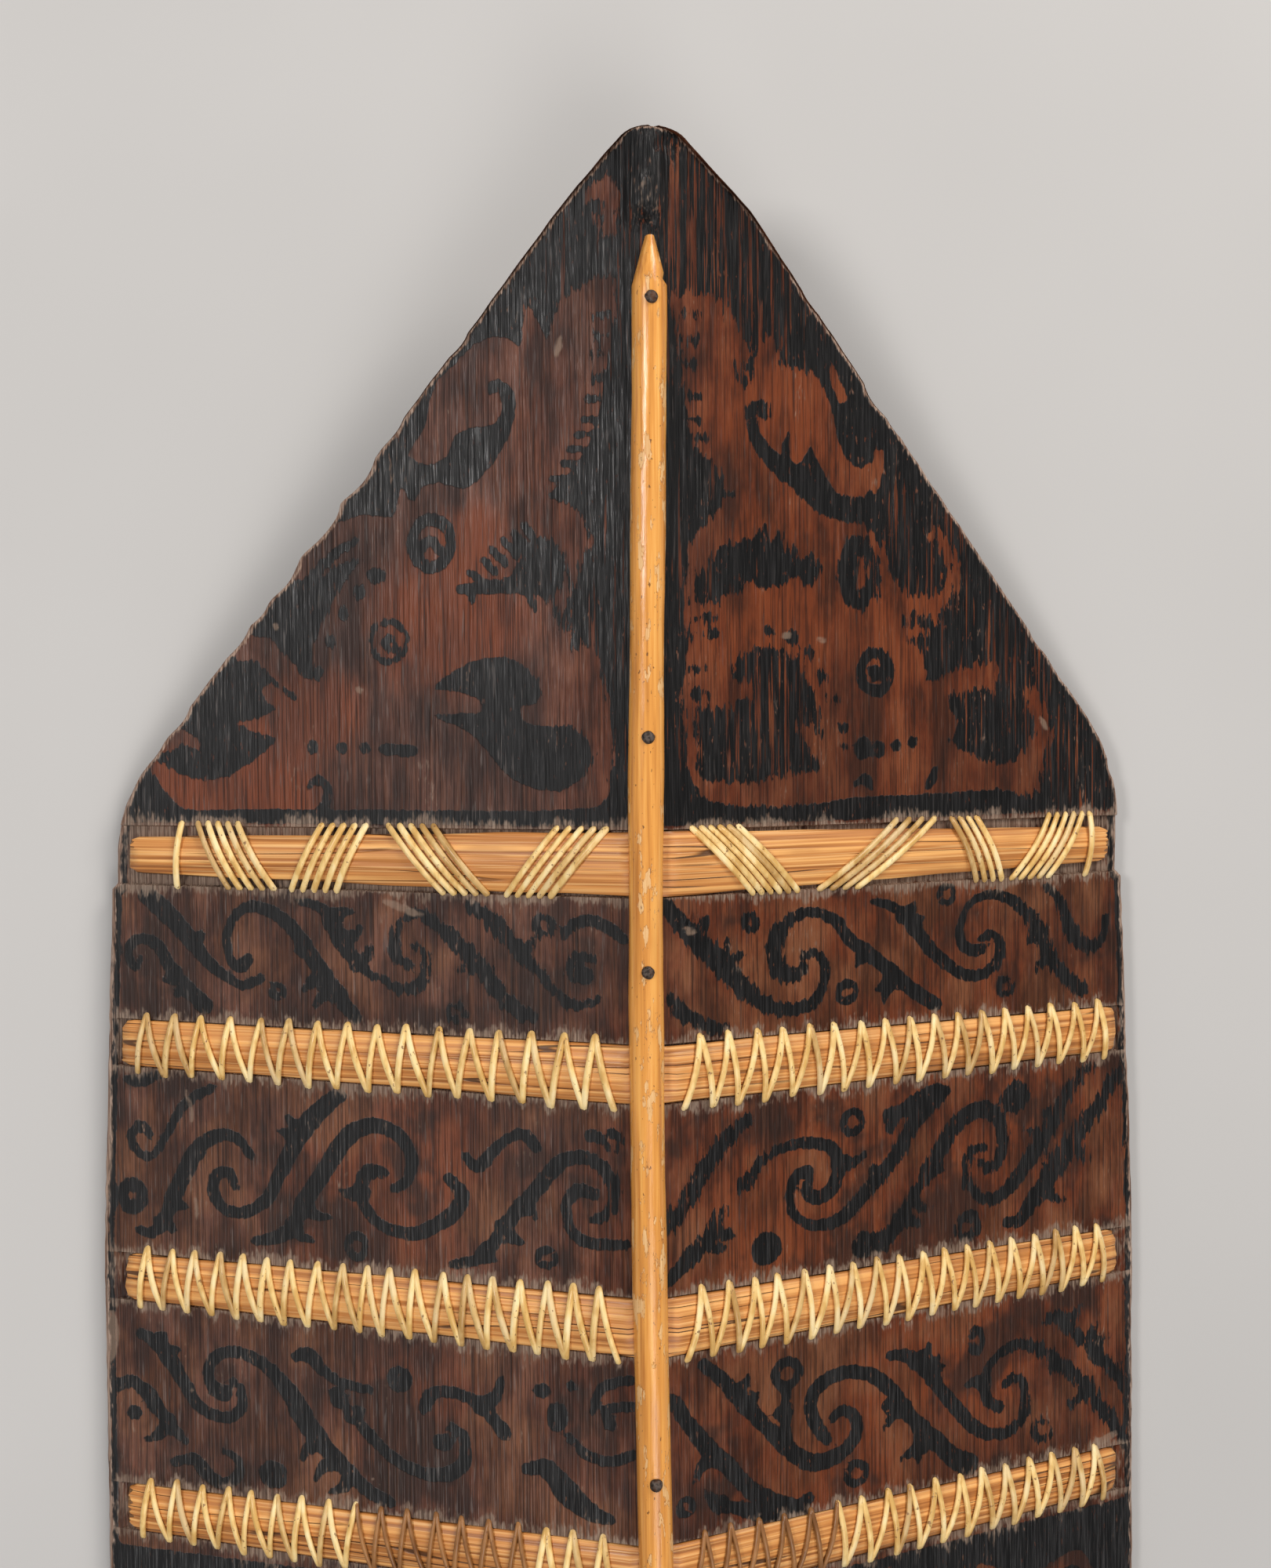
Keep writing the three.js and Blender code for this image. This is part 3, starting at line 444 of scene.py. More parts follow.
PANEL_RINGS = [
    (-134, 295.3, 2.4, 2.4, 1.8), (-68, 290, 2.6, 2.6, 1.8), (-37, 322.4, 3, 3, 1.8),
    (38, 322, 2.6, 2.6, 1.8), (75.7, 294, 3.4, 3.4, 2.4), (118, 328, 3.3, 3.3, 1.8),
    (143.6, 291, 3, 3, 1.8), (-191.7, 214.7, 4, 4.6, 4), (-105.3, 202, 3.4, 4.2, 2),
    (-36.7, 203.3, 3, 3, 2), (-13, 246.5, 3, 3, 2), (78, 245.4, 4, 4, 2.2), (127, 199.5, 4.4, 4.4, 3),
    (51, 156, 4.6, 4.6, 3), (79, 113.4, 3.9, 3.9, 2.4), (130.4, 154.6, 2.8, 4.2, 2),
    (160, 114.3, 3.6, 3.6, 2.2), (-138, 113, 3.4, 3.4, 3.6), (11.7, 115, 2.8, 2.8, 1.8),
]
PANEL_DOTS = [
    (43, 203.3, 5.8, 5.8), (148, 247.6, 6, 6), (-90, 154, 4.6, 4.6), (-33.4, 146, 3.6, 5.2),
    (-38.7, 155, 3, 2.4), (-28.3, 157.7, 1.8, 1.8), (-192.3, 131, 2.8, 2.8), (-74.4, 132.4, 3.4, 3),
    (-20, 248, 2.8, 2.4), (59, 108, 2.6, 2.2),
]
# Hooks left bare on the black ground of the middle panel
MIDDLE_HOOKS = [
    ((3, 5, 6, 5, 3), (20, 12), (30, 30), (52, 38), (66, 22), (52, 10), (42, 20)),
    ((3, 6, 6, 5, 3), (60, 62), (84, 52), (108, 58), (118, 40), (102, 28), (90, 38)),
    ((3, 6, 6, 5, 3), (120, 8), (134, 26), (158, 34), (172, 18), (158, 6), (148, 16)),
    ((3, 6, 5, 3), (132, 66), (152, 54), (176, 60), (186, 44)),
]
# Pale scars and scratches in the wood
SCARS = [
    ((1.6, 2.4, 1.2), (-93, 329.6), (-86, 327), (-79.5, 324.6)),
    ((1, 1.4, 0.8), (-169.6, 256), (-168.5, 251), (-167.4, 245)),
    ((0.8, 1.4, 0.8), (-169, 224), (-167, 214), (-165.3, 205)),
    ((0.6, 1, 0.6), (-173, 166), (-168, 135), (-163, 105)), ((0.5, 0.7), (-113.7, 143), (-89.4, 123)),
    ((0.5, 0.7), (-111, 124.6), (-89.4, 107.4)), ((0.8, 2, 0.8), (-30.5, 523), (-29.8, 526), (-29, 529)),
    ((1.4, 1.4), (-102.5, 407), (-101, 406.5)), ((1.2, 1.2), (-133, 431), (-132.6, 430)),
    ((1.8, 2), (51, 425), (53, 425.3)), ((1.4, 1.6), (65, 424), (67, 423.5)),
    ((3, 5, 3), (-201, 168), (-200.5, 160), (-202, 151)), ((2, 3, 2), (184, 104), (190, 104.6), (195, 106)),
    ((2, 3, 2), (-201, 254), (-201, 235), (-202, 216)), ((1, 2, 1), (12.5, 322), (14, 320.5), (17, 320)),
    ((0.8, 2, 0.8), (159, 395), (161, 393), (162.5, 390)),
]
DRY_EVERYWHERE = 0.07
# Places where the paint went on dry, so that the grain shows: X, Y, radius, strength
DRY_SPOTS = [
    (35, 560, 55, 1.0), (120, 455, 45, 0.9), (150, 410, 40, 0.9), (175, 378, 30, 0.9), (-22, 560, 28, 0.75),
    (42, 396, 34, 0.95), (18, 480, 24, 0.6), (-120, 430, 40, 0.3), (-165, 395, 30, 0.3),
    (185, 240, 45, 0.7), (15, 235, 35, 0.6), (180, 130, 40, 0.6), (30, 300, 40, 0.45), (165, 300, 30, 0.5),
    (-16, 450, 26, 0.7), (110, 215, 40, 0.4), (-45, 455, 20, 0.15), (-60, 300, 50, 0.4), (16, 525, 20, 0.8),
    (17, 440, 22, 0.85), (18, 395, 22, 0.8), (-15, 525, 18, 0.7), (-20, 420, 24, 0.7), (-17, 385, 18, 0.6),
    (45, 452, 28, 0.6),
]
# Places where the wood is redder: X, Y, radius, strength
WARM_SPOTS = [
    (-70, 432, 28, 1.0), (-140, 374, 26, 0.9), (-120, 400, 20, 0.8), (-62, 458, 16, 0.8),
    (-172, 370, 18, 0.8), (-100, 215, 40, 0.6), (-75, 238, 30, 0.6), (-80, 140, 34, 0.5),
    (42, 440, 36, 0.6), (50, 500, 30, 0.6), (95, 430, 30, 0.5), (50, 210, 40, 0.6), (110, 135, 44, 0.8),
    (75, 120, 40, 0.7), (150, 240, 36, 0.5), (120, 310, 40, 0.4),
]
# Farthest distance from an edge of paint that is worked out
REACH = 6.0


# Shapes shared by the pieces
def front_height(x):
    return EDGE_HEIGHT + SLOPE * (HALF_WIDTH - np.maximum(np.abs(x), SEAT_HALF))


def back_height(x):
    height = EDGE_HEIGHT + SLOPE * (HALF_WIDTH - np.maximum(np.abs(x), VALLEY_HALF)) - DROP
    return np.maximum(height, 0.0)


def uneven(kind, x, y, copy=0):
    """Smooth seeded unevenness of one kind; each copy of a piece has a seed of its own."""
    strength, size, seed = kind
    draw = np.random.default_rng(seed + copy)
    total = np.zeros(np.broadcast(x, y).shape)
    for angle, phase, stretch in draw.uniform((0, 0, 0.6), (math.pi, 2 * math.pi, 1.6), (WAVES, 3)):
        along = x * math.cos(angle) + y * math.sin(angle)
        total += np.sin(along * 2 * math.pi / (size * stretch) + phase)
    return strength * total / WAVE_CALM


def edge_x(y, side):
    """X of the outline at each Y, on the left (-1) or right (1)."""
    reach = np.abs(y)
    apex = np.where(y > 0, APEX_OFFSET, 0.0)
    apex_y = HALF_LENGTH + APEX_RISE
    shoulder = side * SHOULDER_X
    corner = apex_y - EDGE_FALL * np.abs(shoulder - apex)

    def slant(at):
        return apex + side * (apex_y - at) / EDGE_FALL

    straight = side * np.interp(reach, [STRAIGHT_HALF, STEP_Y], [HALF_WIDTH, STEP_HALF])
    x = np.where(reach < STEP_Y, straight, shoulder)
    turn = np.clip((reach - corner + SHOULDER_ROUND) / (2 * SHOULDER_ROUND), 0, 1)
    x = x + (slant(corner + SHOULDER_ROUND) - shoulder) * turn ** 2
    x = np.where(reach > corner + SHOULDER_ROUND, slant(reach), x)

    # The blunt tip: straight to its corner, then a short curve to the end
    tip = np.where(y > 0, TIP_OFFSET, 0.0)
    start = HALF_LENGTH - TIP_LENGTH
    to_corner = np.clip((reach - start) / (TIP_LENGTH - TIP_DROP), 0, 1)
    cut = slant(start) + (tip + side * TIP_HALF - slant(start)) * to_corner
    x = np.where(reach > start, cut, x)
    turn = np.sqrt(np.clip((HALF_LENGTH - reach) / TIP_DROP, 0, 1))
    curve = tip + side * (TIP_HALF * turn ** 2 + 2 * TIP_BEND * turn * (1 - turn))
    return np.where(reach > HALF_LENGTH - TIP_DROP, curve, x)


def worn_edge_x(y, side):
    """The outline with its chips and a slightly ragged rim."""
    inset = 0.0
    for wear, line in ((RIM_RAGGED, RAGGED_LINE), (RIM_WAVE, WAVE_LINE)):
        inset = inset + wear[0] + uneven(wear, y, side * line)
    for chip_side, middle, half, depth in CHIPS:
        if chip_side == side:
            inset = inset + depth * np.clip(1 - ((y - middle) / half) ** 2, 0, None)
    fade = np.clip((HALF_LENGTH - np.abs(y)) / RIM_FADE, 0, 1)
    return edge_x(y, side) - side * inset * fade


def band_of(i):
    return END_BAND if i in (0, len(BAND_ROWS) - 1) else MIDDLE_BAND


def band_row(i, x):
    """Y of a band's middle line; its left half climbs a little towards the edge."""
    return BAND_ROWS[i] + LEFT_RISES[i] * np.maximum(-x, 0.0) / HALF_WIDTH


def splint_half_width(band, x):
    share = np.minimum(np.abs(x) / band["half"], 1)
    return band["ridge"] + (band["tip"] - band["ridge"]) * share


def channel_half_width(band, x):
    ridge = band["ridge"] + CHANNEL_GAP
    share = np.minimum(np.abs(x) / band["channel_half"], 1)
    return ridge + (band["channel_tip"] - ridge) * share


def cane_centre(y):
    return -CANE_SWAY * np.cos(2 * math.pi * (y - CANE_SWAY_PEAK) / CANE_SWAY_LENGTH)


CANE_BASE = float(front_height(SEAT_HALF)) + CHANNEL_GAP


# Meshes
def grid_faces(rows, columns):
    """Quads between neighbouring closed rings of points."""
    row, column = np.meshgrid(np.arange(rows - 1), np.arange(columns), indexing="ij")
    after = (column + 1) % columns
    ring = row * columns
    next_ring = ring + columns
    corners = [ring + column, ring + after, next_ring + after, next_ring + column]
    return np.stack(corners, axis=-1).reshape(-1, 4)


def skin_faces(rows, columns, start):
    """Faces of a closed skin whose points are numbered from start: its rings and a cap at each end."""
    first = np.arange(columns) + start
    faces = (grid_faces(rows, columns) + start).tolist()
    return faces + [first[::-1].tolist(), (first + (rows - 1) * columns).tolist()]


def add_piece(name, points, faces, material, slot, nodes, sharp_angle=45, **attributes):
    """One finished piece on the root body in place of its plain solids."""
    mesh = bpy.data.meshes.new(name)
    mesh.from_pydata((points * MM).tolist(), [], faces)
    mesh.shade_smooth()
    mesh.set_sharp_from_angle(angle=math.radians(sharp_angle))
    for key, values in attributes.items():
        layer = mesh.attributes.new(key, "FLOAT", "POINT")
        layer.data.foreach_set("value", np.asarray(values, dtype=np.float32).ravel())
    mesh.materials.append(material)
    piece = bpy.data.objects.new(name, mesh)
    bpy.context.scene.collection.objects.link(piece)
    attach(piece, "root")
    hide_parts(*nodes)


class Bundle:
    """Closed skins gathered into one mesh, each with its own tint."""

    def __init__(self):
        self.points = []
        self.faces = []
        self.tints = []
        self.count = 0

    def add(self, rings, tint=0.5):
        rows, columns, _ = rings.shape
        self.points.append(rings.reshape(-1, 3))
        self.faces += skin_faces(rows, columns, self.count)
        self.tints.append(np.full(rows * columns, tint))
        self.count += rows * columns

    def piece(self, name, material, slot, nodes, **options):
        points = np.vstack(self.points)
        tints = np.concatenate(self.tints)
        add_piece(name, points, self.faces, material, slot, nodes, tint=tints, **options)


def swept(path, up, half_width, half_height, sides):
    """Rings of an oval section along a path, turned so that the section stands on up."""
    tangent = np.gradient(path, axis=0)
    tangent /= np.linalg.norm(tangent, axis=1, keepdims=True)
    across = np.cross(tangent, up)
    across /= np.linalg.norm(across, axis=1, keepdims=True)
    rise = np.cross(across, tangent)
    angle = np.linspace(2 * math.pi, 0, sides, endpoint=False)
    wide = np.reshape(half_width, (-1, 1, 1)) * np.cos(angle)[None, :, None]
    high = np.reshape(half_height, (-1, 1, 1)) * np.sin(angle)[None, :, None]
    return path[:, None, :] + across[:, None, :] * wide + rise[:, None, :] * high


# Paint
def spline(points, closed=False, samples=8, pull=0.42):
    """Points along a smooth curve through the given ones."""
    knots = np.array(points, dtype=float)
    if closed:
        knots = np.vstack([knots[-1:], knots, knots[:2]])
    else:
        knots = np.vstack([2 * knots[0] - knots[1], knots, 2 * knots[-1] - knots[-2]])
    t = np.linspace(0, 1, samples, endpoint=False)[:, None]
    parts = []
    for before, start, end, after in zip(knots[:-3], knots[1:-2], knots[2:-1], knots[3:]):
        leave = pull * (end - before)
        arrive = pull * (after - start)
        parts.append(
            (2 * t ** 3 - 3 * t ** 2 + 1) * start + (t ** 3 - 2 * t ** 2 + t) * leave
            + (3 * t ** 2 - 2 * t ** 3) * end + (t ** 3 - t ** 2) * arrive
        )
    if not closed:
        parts.append(knots[-2:-1])
    return np.vstack(parts)


class Paint:
    """Signed distance to an edge of paint at each point of the board's face, below zero inside the paint."""

    def __init__(self, x, y, start):
        self.x = x
        self.y = np.abs(y)
        self.upper = y > 0
        self.value = np.clip(start, -REACH, REACH)

    def near(self, points, margin, fine):
        low = points.min(axis=0) - margin
        high = points.max(axis=0) + margin
        inside = (self.x > low[0]) & (self.x < high[0]) & (self.y > low[1]) & (self.y < high[1])
        return np.nonzero(inside & self.upper if fine else inside)

    def lay(self, chosen, distance, bare):
        old = self.value[chosen]
        self.value[chosen] = np.maximum(old, -distance) if bare else np.minimum(old, distance)

    def stroke(self, widths, *points, bare=False, fine=False):
        curve = spline(points)
        share = np.linspace(0, 1, len(curve))
        half = np.interp(share, np.linspace(0, 1, len(widths)), widths) / 2 + SPREAD
        chosen = self.near(curve, half.max() + REACH, fine)
        away = np.hypot(self.x[chosen][:, None] - curve[:, 0], self.y[chosen][:, None] - curve[:, 1])
        self.lay(chosen, (away - half).min(axis=1), bare)
        return curve

    def area(self, points, bare=False, fine=False):
        curve = spline(points, closed=True, samples=4, pull=0.3)
        chosen = self.near(curve, REACH, fine)
        px, py = self.x[chosen], self.y[chosen]
        distance = np.full(px.shape, np.inf)
        inside = np.zeros(px.shape, dtype=bool)
        for (ax, ay), (bx, by) in zip(curve, np.roll(curve, -1, axis=0)):
            dx, dy = bx - ax, by - ay
            share = np.clip(((px - ax) * dx + (py - ay) * dy) / (dx * dx + dy * dy + 1e-9), 0, 1)
            distance = np.minimum(distance, np.hypot(px - ax - share * dx, py - ay - share * dy))
            if ay != by:
                inside ^= ((ay > py) != (by > py)) & (px < (py - ay) * dx / dy + ax)
        self.lay(chosen, np.where(inside, -distance, distance), bare)

    def oval(self, x, y, rx, ry, line=0.0, fine=False):
        corners = np.array([(x - rx, y - ry), (x + rx, y + ry)])
        chosen = self.near(corners, line + REACH, fine)
        distance = (np.hypot((self.x[chosen] - x) / rx, (self.y[chosen] - y) / ry) - 1) * min(rx, ry)
        if line:
            distance = np.abs(distance) - line / 2
        self.lay(chosen, distance - SPREAD, False)


def painted_ornament(x, y):
    ground = np.minimum(GROUND_LINE - np.abs(y), np.abs(y) - CENTRE_LINE)
    rim = np.minimum(x - edge_x(y, -1), edge_x(y, 1) - x) - RIM_PAINT
    paint = Paint(x, y, np.minimum(ground, rim))
    for outline in BARE_AREAS:
        paint.area(outline, bare=True)
    for stroke in BARE_STROKES:
        paint.stroke(*stroke, bare=True)
    for outline in DARK_AREAS:
        paint.area(outline)
    for stroke in DARK_STROKES:
        paint.stroke(*stroke, fine=True)
    for tip_x, tip_y in BORDER_TEETH:
        root = (tip_x - math.copysign(TOOTH, tip_x), tip_y)
        paint.stroke(TOOTH_WIDTHS, root, (tip_x, tip_y), fine=True)
    for ring in DARK_RINGS:
        paint.oval(*ring)
    for dot in DARK_DOTS:
        paint.oval(*dot, fine=True)
    lines = np.vstack([paint.stroke(*stroke) for stroke in SCROLLS])
    for k, tip in enumerate(THORNS):
        root = lines[np.argmin(np.hypot(*(lines - tip).T))]
        reach = np.array(tip) - root
        bend = THORN_BEND * np.array([-reach[1], reach[0]]) * (-1 if k % 3 else 1)
        paint.stroke(THORN_WIDTHS, root, root + reach / 2 + bend, tip, fine=True)
    for oval in PANEL_RINGS + PANEL_DOTS:
        paint.oval(*oval, fine=True)
    for widths, *points in MIDDLE_HOOKS:
        for side in (-1, 1):
            paint.stroke(widths, *[(side * px, py) for px, py in points], bare=True)
    return paint.value


def scars(x, y):
    marks = Paint(x, y, np.full(x.shape, REACH))
    for stroke in SCARS:
        marks.stroke(*stroke, fine=True)
    return marks.value


def spotted(x, y, spots, start):
    """Soft round spots, the same on both halves of the board."""
    level = np.full(x.shape, start)
    for spot_x, spot_y, radius, strength in spots:
        away = ((x - spot_x) ** 2 + (np.abs(y) - spot_y) ** 2) / radius ** 2
        level = np.maximum(level, strength * np.exp(-away * away))
    return level


def nose_bulge(x, y):
    """Share of the nose's full height at each point."""
    along = np.clip((np.abs(y) - NOSE_START) / (NOSE_END - NOSE_START), 0, 1)
    height = np.minimum(NOSE_RISE * along, 1 - NOSE_FALL * along ** 3)
    return np.clip(1 - (x / NOSE_HALF) ** 2, 0, None) ** 2 * height


def band_dust(x, y):
    """Dust and gum that lodge along the splints, past their ends and around the holes, and a painted sheen
    on the nose in the dust's colour.
    """
    dust = np.zeros(x.shape)
    for i, row in enumerate(BAND_ROWS):
        band = band_of(i)
        away = np.abs(y - band_row(i, x)) - channel_half_width(band, x)
        wide = np.maximum(DUST_REACH + uneven(DUST_WAVE, x, row, i), DUST_LEAST_REACH)
        dust = np.maximum(dust, DUST_SHARE * np.clip(1 - away / wide, 0, 1) ** DUST_FALL)
        past_end = np.abs(x) > band["half"]
        dust = np.where((away < 0) & past_end, END_DUST + uneven(END_DUST_WAVE, x, y, i), dust)
    # A painted sheen on the rounded nose, laid in the dust's colour.
    dust = np.maximum(dust, NOSE_PAINTED_SHEEN * nose_bulge(x, y))
    for hole_x, hole_y in all_holes():
        reach = HOLE_DUST_RADIUS * 2
        near = np.nonzero((np.abs(x - hole_x) < reach) & (np.abs(y - hole_y) < reach))
        spread = ((x[near] - hole_x) ** 2 + (y[near] - hole_y) ** 2) / HOLE_DUST_RADIUS ** 2
        dust[near] = np.maximum(dust[near], HOLE_DUST * np.exp(-spread))
    return dust


# Board: rings across the board, laid row by row from the upper end to the lower one
HEAD_STEP = 1.36
FINE_STEP = 1.85
COARSE_STEP = 5.2
MIDDLE_STEP = 4.0
BAND_STEP = 4.5
TIP_ROWS = 16
WALL = 0.25
WARP_REACH = 24.0
RIM_COLUMNS = [0.0, 0.5, 1.2, 2.2, 3.6]
FACE_START = 5.6
RIDGE_MARGIN = 0.35
RIM_INSET = 0.15
RIM_MIDDLE = 0.55
MARKS_FROM = 1.0
FAR_FROM_EDGE = 30.0
HALF_COLUMNS = 84
BACK_SHARES = [0.006, 0.03, 0.12, 0.28, 0.4, 0.47, 0.53, 0.6, 0.72, 0.88, 0.97, 0.994]


def between(start, end, step):
    count = max(2, round(abs(end - start) / step))
    return list(np.linspace(start, end, count + 1)[1:-1])


def board_rows():
    tip = HALF_LENGTH - TIP_LENGTH * np.linspace(0.05, 1, TIP_ROWS) ** 2
    rows = list(tip)
    for i, row in enumerate(BAND_ROWS):
        step = FINE_STEP if row > 0 else COARSE_STEP
        if i == 0:
            step = HEAD_STEP
        if i == len(BAND_ROWS) // 2:
            step = MIDDLE_STEP
        half = band_of(i)["ridge"] + CHANNEL_GAP
        rows += between(rows[-1], row + half + WALL, step)
        rows += [row + half + WALL, row + half - WALL]
        rows += between(row + half - WALL, row - half + WALL, BAND_STEP)
        rows += [row - half + WALL, row - half - WALL]
    rows += between(rows[-1], -tip[-1], COARSE_STEP)
    return np.array(rows + list(-tip[::-1]))


def warp_rows(y, x):
    """Bends the rows near a splint so that they run along the edges of its channel."""
    bent = y.copy()
    for i, row in enumerate(BAND_ROWS):
        band = band_of(i)
        half = band["ridge"] + CHANNEL_GAP
        narrow = half - channel_half_width(band, x)
        away = y - row
        inner = np.clip(np.abs(away) / half, 0, 1)
        outer = np.clip((WARP_REACH - np.abs(away)) / (WARP_REACH - half), 0, 1)
        bent = bent - np.sign(away) * narrow * np.minimum(inner, outer) + (band_row(i, x) - row) * outer
    return bent


def face_relief(x, y, left, right):
    """Height of the worn front, with its rim, channels, nose and pits, and the distance from the rim."""
    z = front_height(x) + uneven(FACE_WAVE, x, y) + uneven(FACE_PLANED, x, y * PLANED_ALONG)
    for i in range(len(BAND_ROWS)):
        band = band_of(i)
        off_line = np.abs(y - band_row(i, x))
        inside = (off_line < channel_half_width(band, x)) & (np.abs(x) < band["channel_half"])
        z = z - CHANNEL_DEPTH * inside
    z = z + NOSE_HEIGHT * nose_bulge(x, y) * (1 + uneven(NOSE_LUMPS, x, y * LUMPS_ALONG))
    for pit_x, pit_y, radius, depth in PITS:
        z = z - depth * np.exp(-((x - pit_x) ** 2 + (y - pit_y) ** 2) / radius ** 2)
    away = np.minimum(np.minimum(x - left, right - x) * SLANT, HALF_LENGTH - np.abs(y))
    lean = np.clip(1 - away / RIM_ROUND, 0, 1)
    return z - RIM_ROUND * (1 - np.sqrt(1 - lean ** 2)), away


def grip_rings():
    line = spline(GRIP_LINE, samples=4)
    mirrored = line[-2::-1] * (-1, 1, 1, 1)
    line = np.vstack([line, mirrored])
    path = np.column_stack([np.zeros(len(line)), line[:, 0], line[:, 1]])
    rings = swept(path, np.array([1.0, 0.0, 0.0]), line[:, 3], line[:, 2], GRIP_SIDES)
    swell = 1 + uneven(GRIP_LUMPS, rings[..., 1], rings[..., 2] + rings[..., 0])
    return path[:, None, :] + (rings - path[:, None, :]) * swell[..., None]


def board(material):
    rows = board_rows()[:, None]
    left, right = worn_edge_x(rows, -1), worn_edge_x(rows, 1)
    width = right - left
    ridge = np.clip(0.0, left + RIDGE_MARGIN * width, right - RIDGE_MARGIN * width)
    face_columns = np.linspace(FACE_START, HALF_WIDTH, HALF_COLUMNS)
    inward = np.concatenate([RIM_COLUMNS, face_columns]) / HALF_WIDTH
    x = np.hstack([left + (ridge - left) * inward, right + (ridge - right) * inward[-2::-1]])
    y = warp_rows(np.broadcast_to(rows, x.shape), x)
    z, away = face_relief(x, y, left, right)
    front = x.shape[1]

    back_x = right - width * np.array(BACK_SHARES)
    back_y = np.broadcast_to(rows, back_x.shape)
    hollow = back_height(back_x)
    marks = uneven(BACK_MARKS, back_x * MARKS_ACROSS, back_y)
    back_z = np.where(hollow > MARKS_FROM, hollow + marks, hollow)
    rim_z = RIM_MIDDLE * (back_z[:, [0, -1]] + z[:, [-1, 0]])
    points = np.stack([
        np.hstack([x, right - RIM_INSET, back_x, left + RIM_INSET]),
        np.hstack([y, y[:, -1:], back_y, y[:, :1]]),
        np.hstack([z, rim_z[:, :1], back_z, rim_z[:, 1:]]),
    ], axis=-1)
    count, columns, _ = points.shape
    points = points.reshape(-1, 3)
    faces = grid_faces(count, columns)[:, ::-1].reshape(count - 1, columns, 4)
    # Cells lean with the slanted edges, so the corners are numbered for the shorter diagonal
    middle_row, middle_column = count // 2, front // 2
    for leaning in (np.s_[:middle_row, :middle_column], np.s_[middle_row:, middle_column:front]):
        faces[leaning] = np.roll(faces[leaning], 1, axis=-1)
    faces = faces.reshape(-1, 4).tolist()

    # Each end closes on one point, and the grip is a skin of its own sunk into the back
    apexes = np.array([points[:columns].mean(axis=0), points[-columns:].mean(axis=0)])
    apexes[:, 1] = (HALF_LENGTH, -HALF_LENGTH)
    total = len(points)
    for k in range(columns):
        after = (k + 1) % columns
        faces.append((total, k, after))
        faces.append((total + 1, total - columns + after, total - columns + k))
    grip = grip_rings()
    faces += skin_faces(*grip.shape[:2], total + len(apexes))
    extra = len(apexes) + grip.shape[0] * grip.shape[1]

    def attribute(values, rim, back, grip_value):
        rest = np.full((count, columns - front), back)
        rest[:, [0, -1]] = rim
        return np.concatenate([np.hstack([values, rest]).ravel(), np.full(extra, grip_value)])

    all_points = np.vstack([points, apexes, grip.reshape(-1, 3)])
    add_piece(
        "painted_board", all_points, faces, material, "wood", ["board"],
        paint=attribute(painted_ornament(x, y), REACH, REACH, REACH),
        scar=attribute(scars(x, y), REACH, REACH, REACH),
        dust=attribute(band_dust(x, y), 0.1, 0.0, 0.0),
        edge=attribute(np.clip(away, 0, FAR_FROM_EDGE), 0.0, FAR_FROM_EDGE, FAR_FROM_EDGE),
        dry=attribute(spotted(x, y, DRY_SPOTS, DRY_EVERYWHERE), 1.0, 1.0, 1.0),
        warm=attribute(spotted(x, y, WARM_SPOTS, 0.0), 0.0, 0.3, 0.3),
        panel=attribute(np.where(np.abs(y) < BAND_ROWS[0], 1.0, 0.0), 0.4, 0.4, 0.4),
    )


# Ridge cane and nails
def ridge_cane(material):
    full = CANE_HALF_LENGTH - CANE_POINT
    tip = np.linspace(full, CANE_HALF_LENGTH, CANE_POINT_ROWS)[1:]
    y = np.concatenate([-tip[::-1], np.linspace(-full, full, CANE_ROWS), tip])
    point = np.clip((np.abs(y) - full) / CANE_POINT, 0, 1)
    width = CANE_WIDTH / 2 * (1 - POINT_NARROWING * point) * (1 + uneven(CANE_WIDTH_WAVE, y, 0.0))
    height = CANE_HEIGHT * (1 - POINT_LOWERING * point ** POINT_POWER)
    height = height * (1 + uneven(CANE_HEIGHT_WAVE, y, HEIGHT_LINE))
    notch = NOTCH_DEPTH * np.exp(-((y - full - NOTCH_FROM_POINT) / NOTCH_HALF) ** 2)
    angle = np.linspace(0, math.pi, CANE_COLUMNS)
    across = np.cos(angle)[None, :]
    rise = np.sin(angle)[None, :] ** CANE_FULLNESS
    skin = 1 + uneven(CANE_SKIN, y[:, None], SKIN_ACROSS * across)
    x = cane_centre(y)[:, None] + width[:, None] * across * skin - notch[:, None] * np.maximum(across, 0)
    z = CANE_BASE + height[:, None] * rise * skin
    rings = np.stack([x, np.broadcast_to(y[:, None], x.shape), z], axis=-1)
    cane = Bundle()
    cane.add(rings[:, ::-1])
    cane.piece("split_cane_ridge", material, "ridge_cane", ["ridge_cane"], sharp_angle=60)


def nails(material):
    angle = np.linspace(0, 2 * math.pi, NAIL_SIDES, endpoint=False)
    profile = [(NAIL_SHANK, -NAIL_DEPTH), (NAIL_SHANK, -NAIL_NECK)]
    profile += [(NAIL_RADIUS * share, rise) for share, rise in NAIL_DOME]
    for i, row in enumerate(NAIL_ROWS):
        rings = []
        for radius, rise in profile:
            around = WEAR_AROUND * np.sin(angle) + radius
            wear = uneven(NAIL_WEAR, WEAR_AROUND * np.cos(angle), around, i)
            worn = radius * (1 + wear)
            x = cane_centre(row) + worn * np.cos(angle)
            z = np.full(NAIL_SIDES, CANE_BASE + CANE_HEIGHT + rise)
            rings.append(np.column_stack([x, row + worn * np.sin(angle), z]))
        head = Bundle()
        head.add(np.array(rings))
        head.piece(f"domed_nail_{i + 1}", material, "iron", [f"ridge_nail_{i + 1}"])


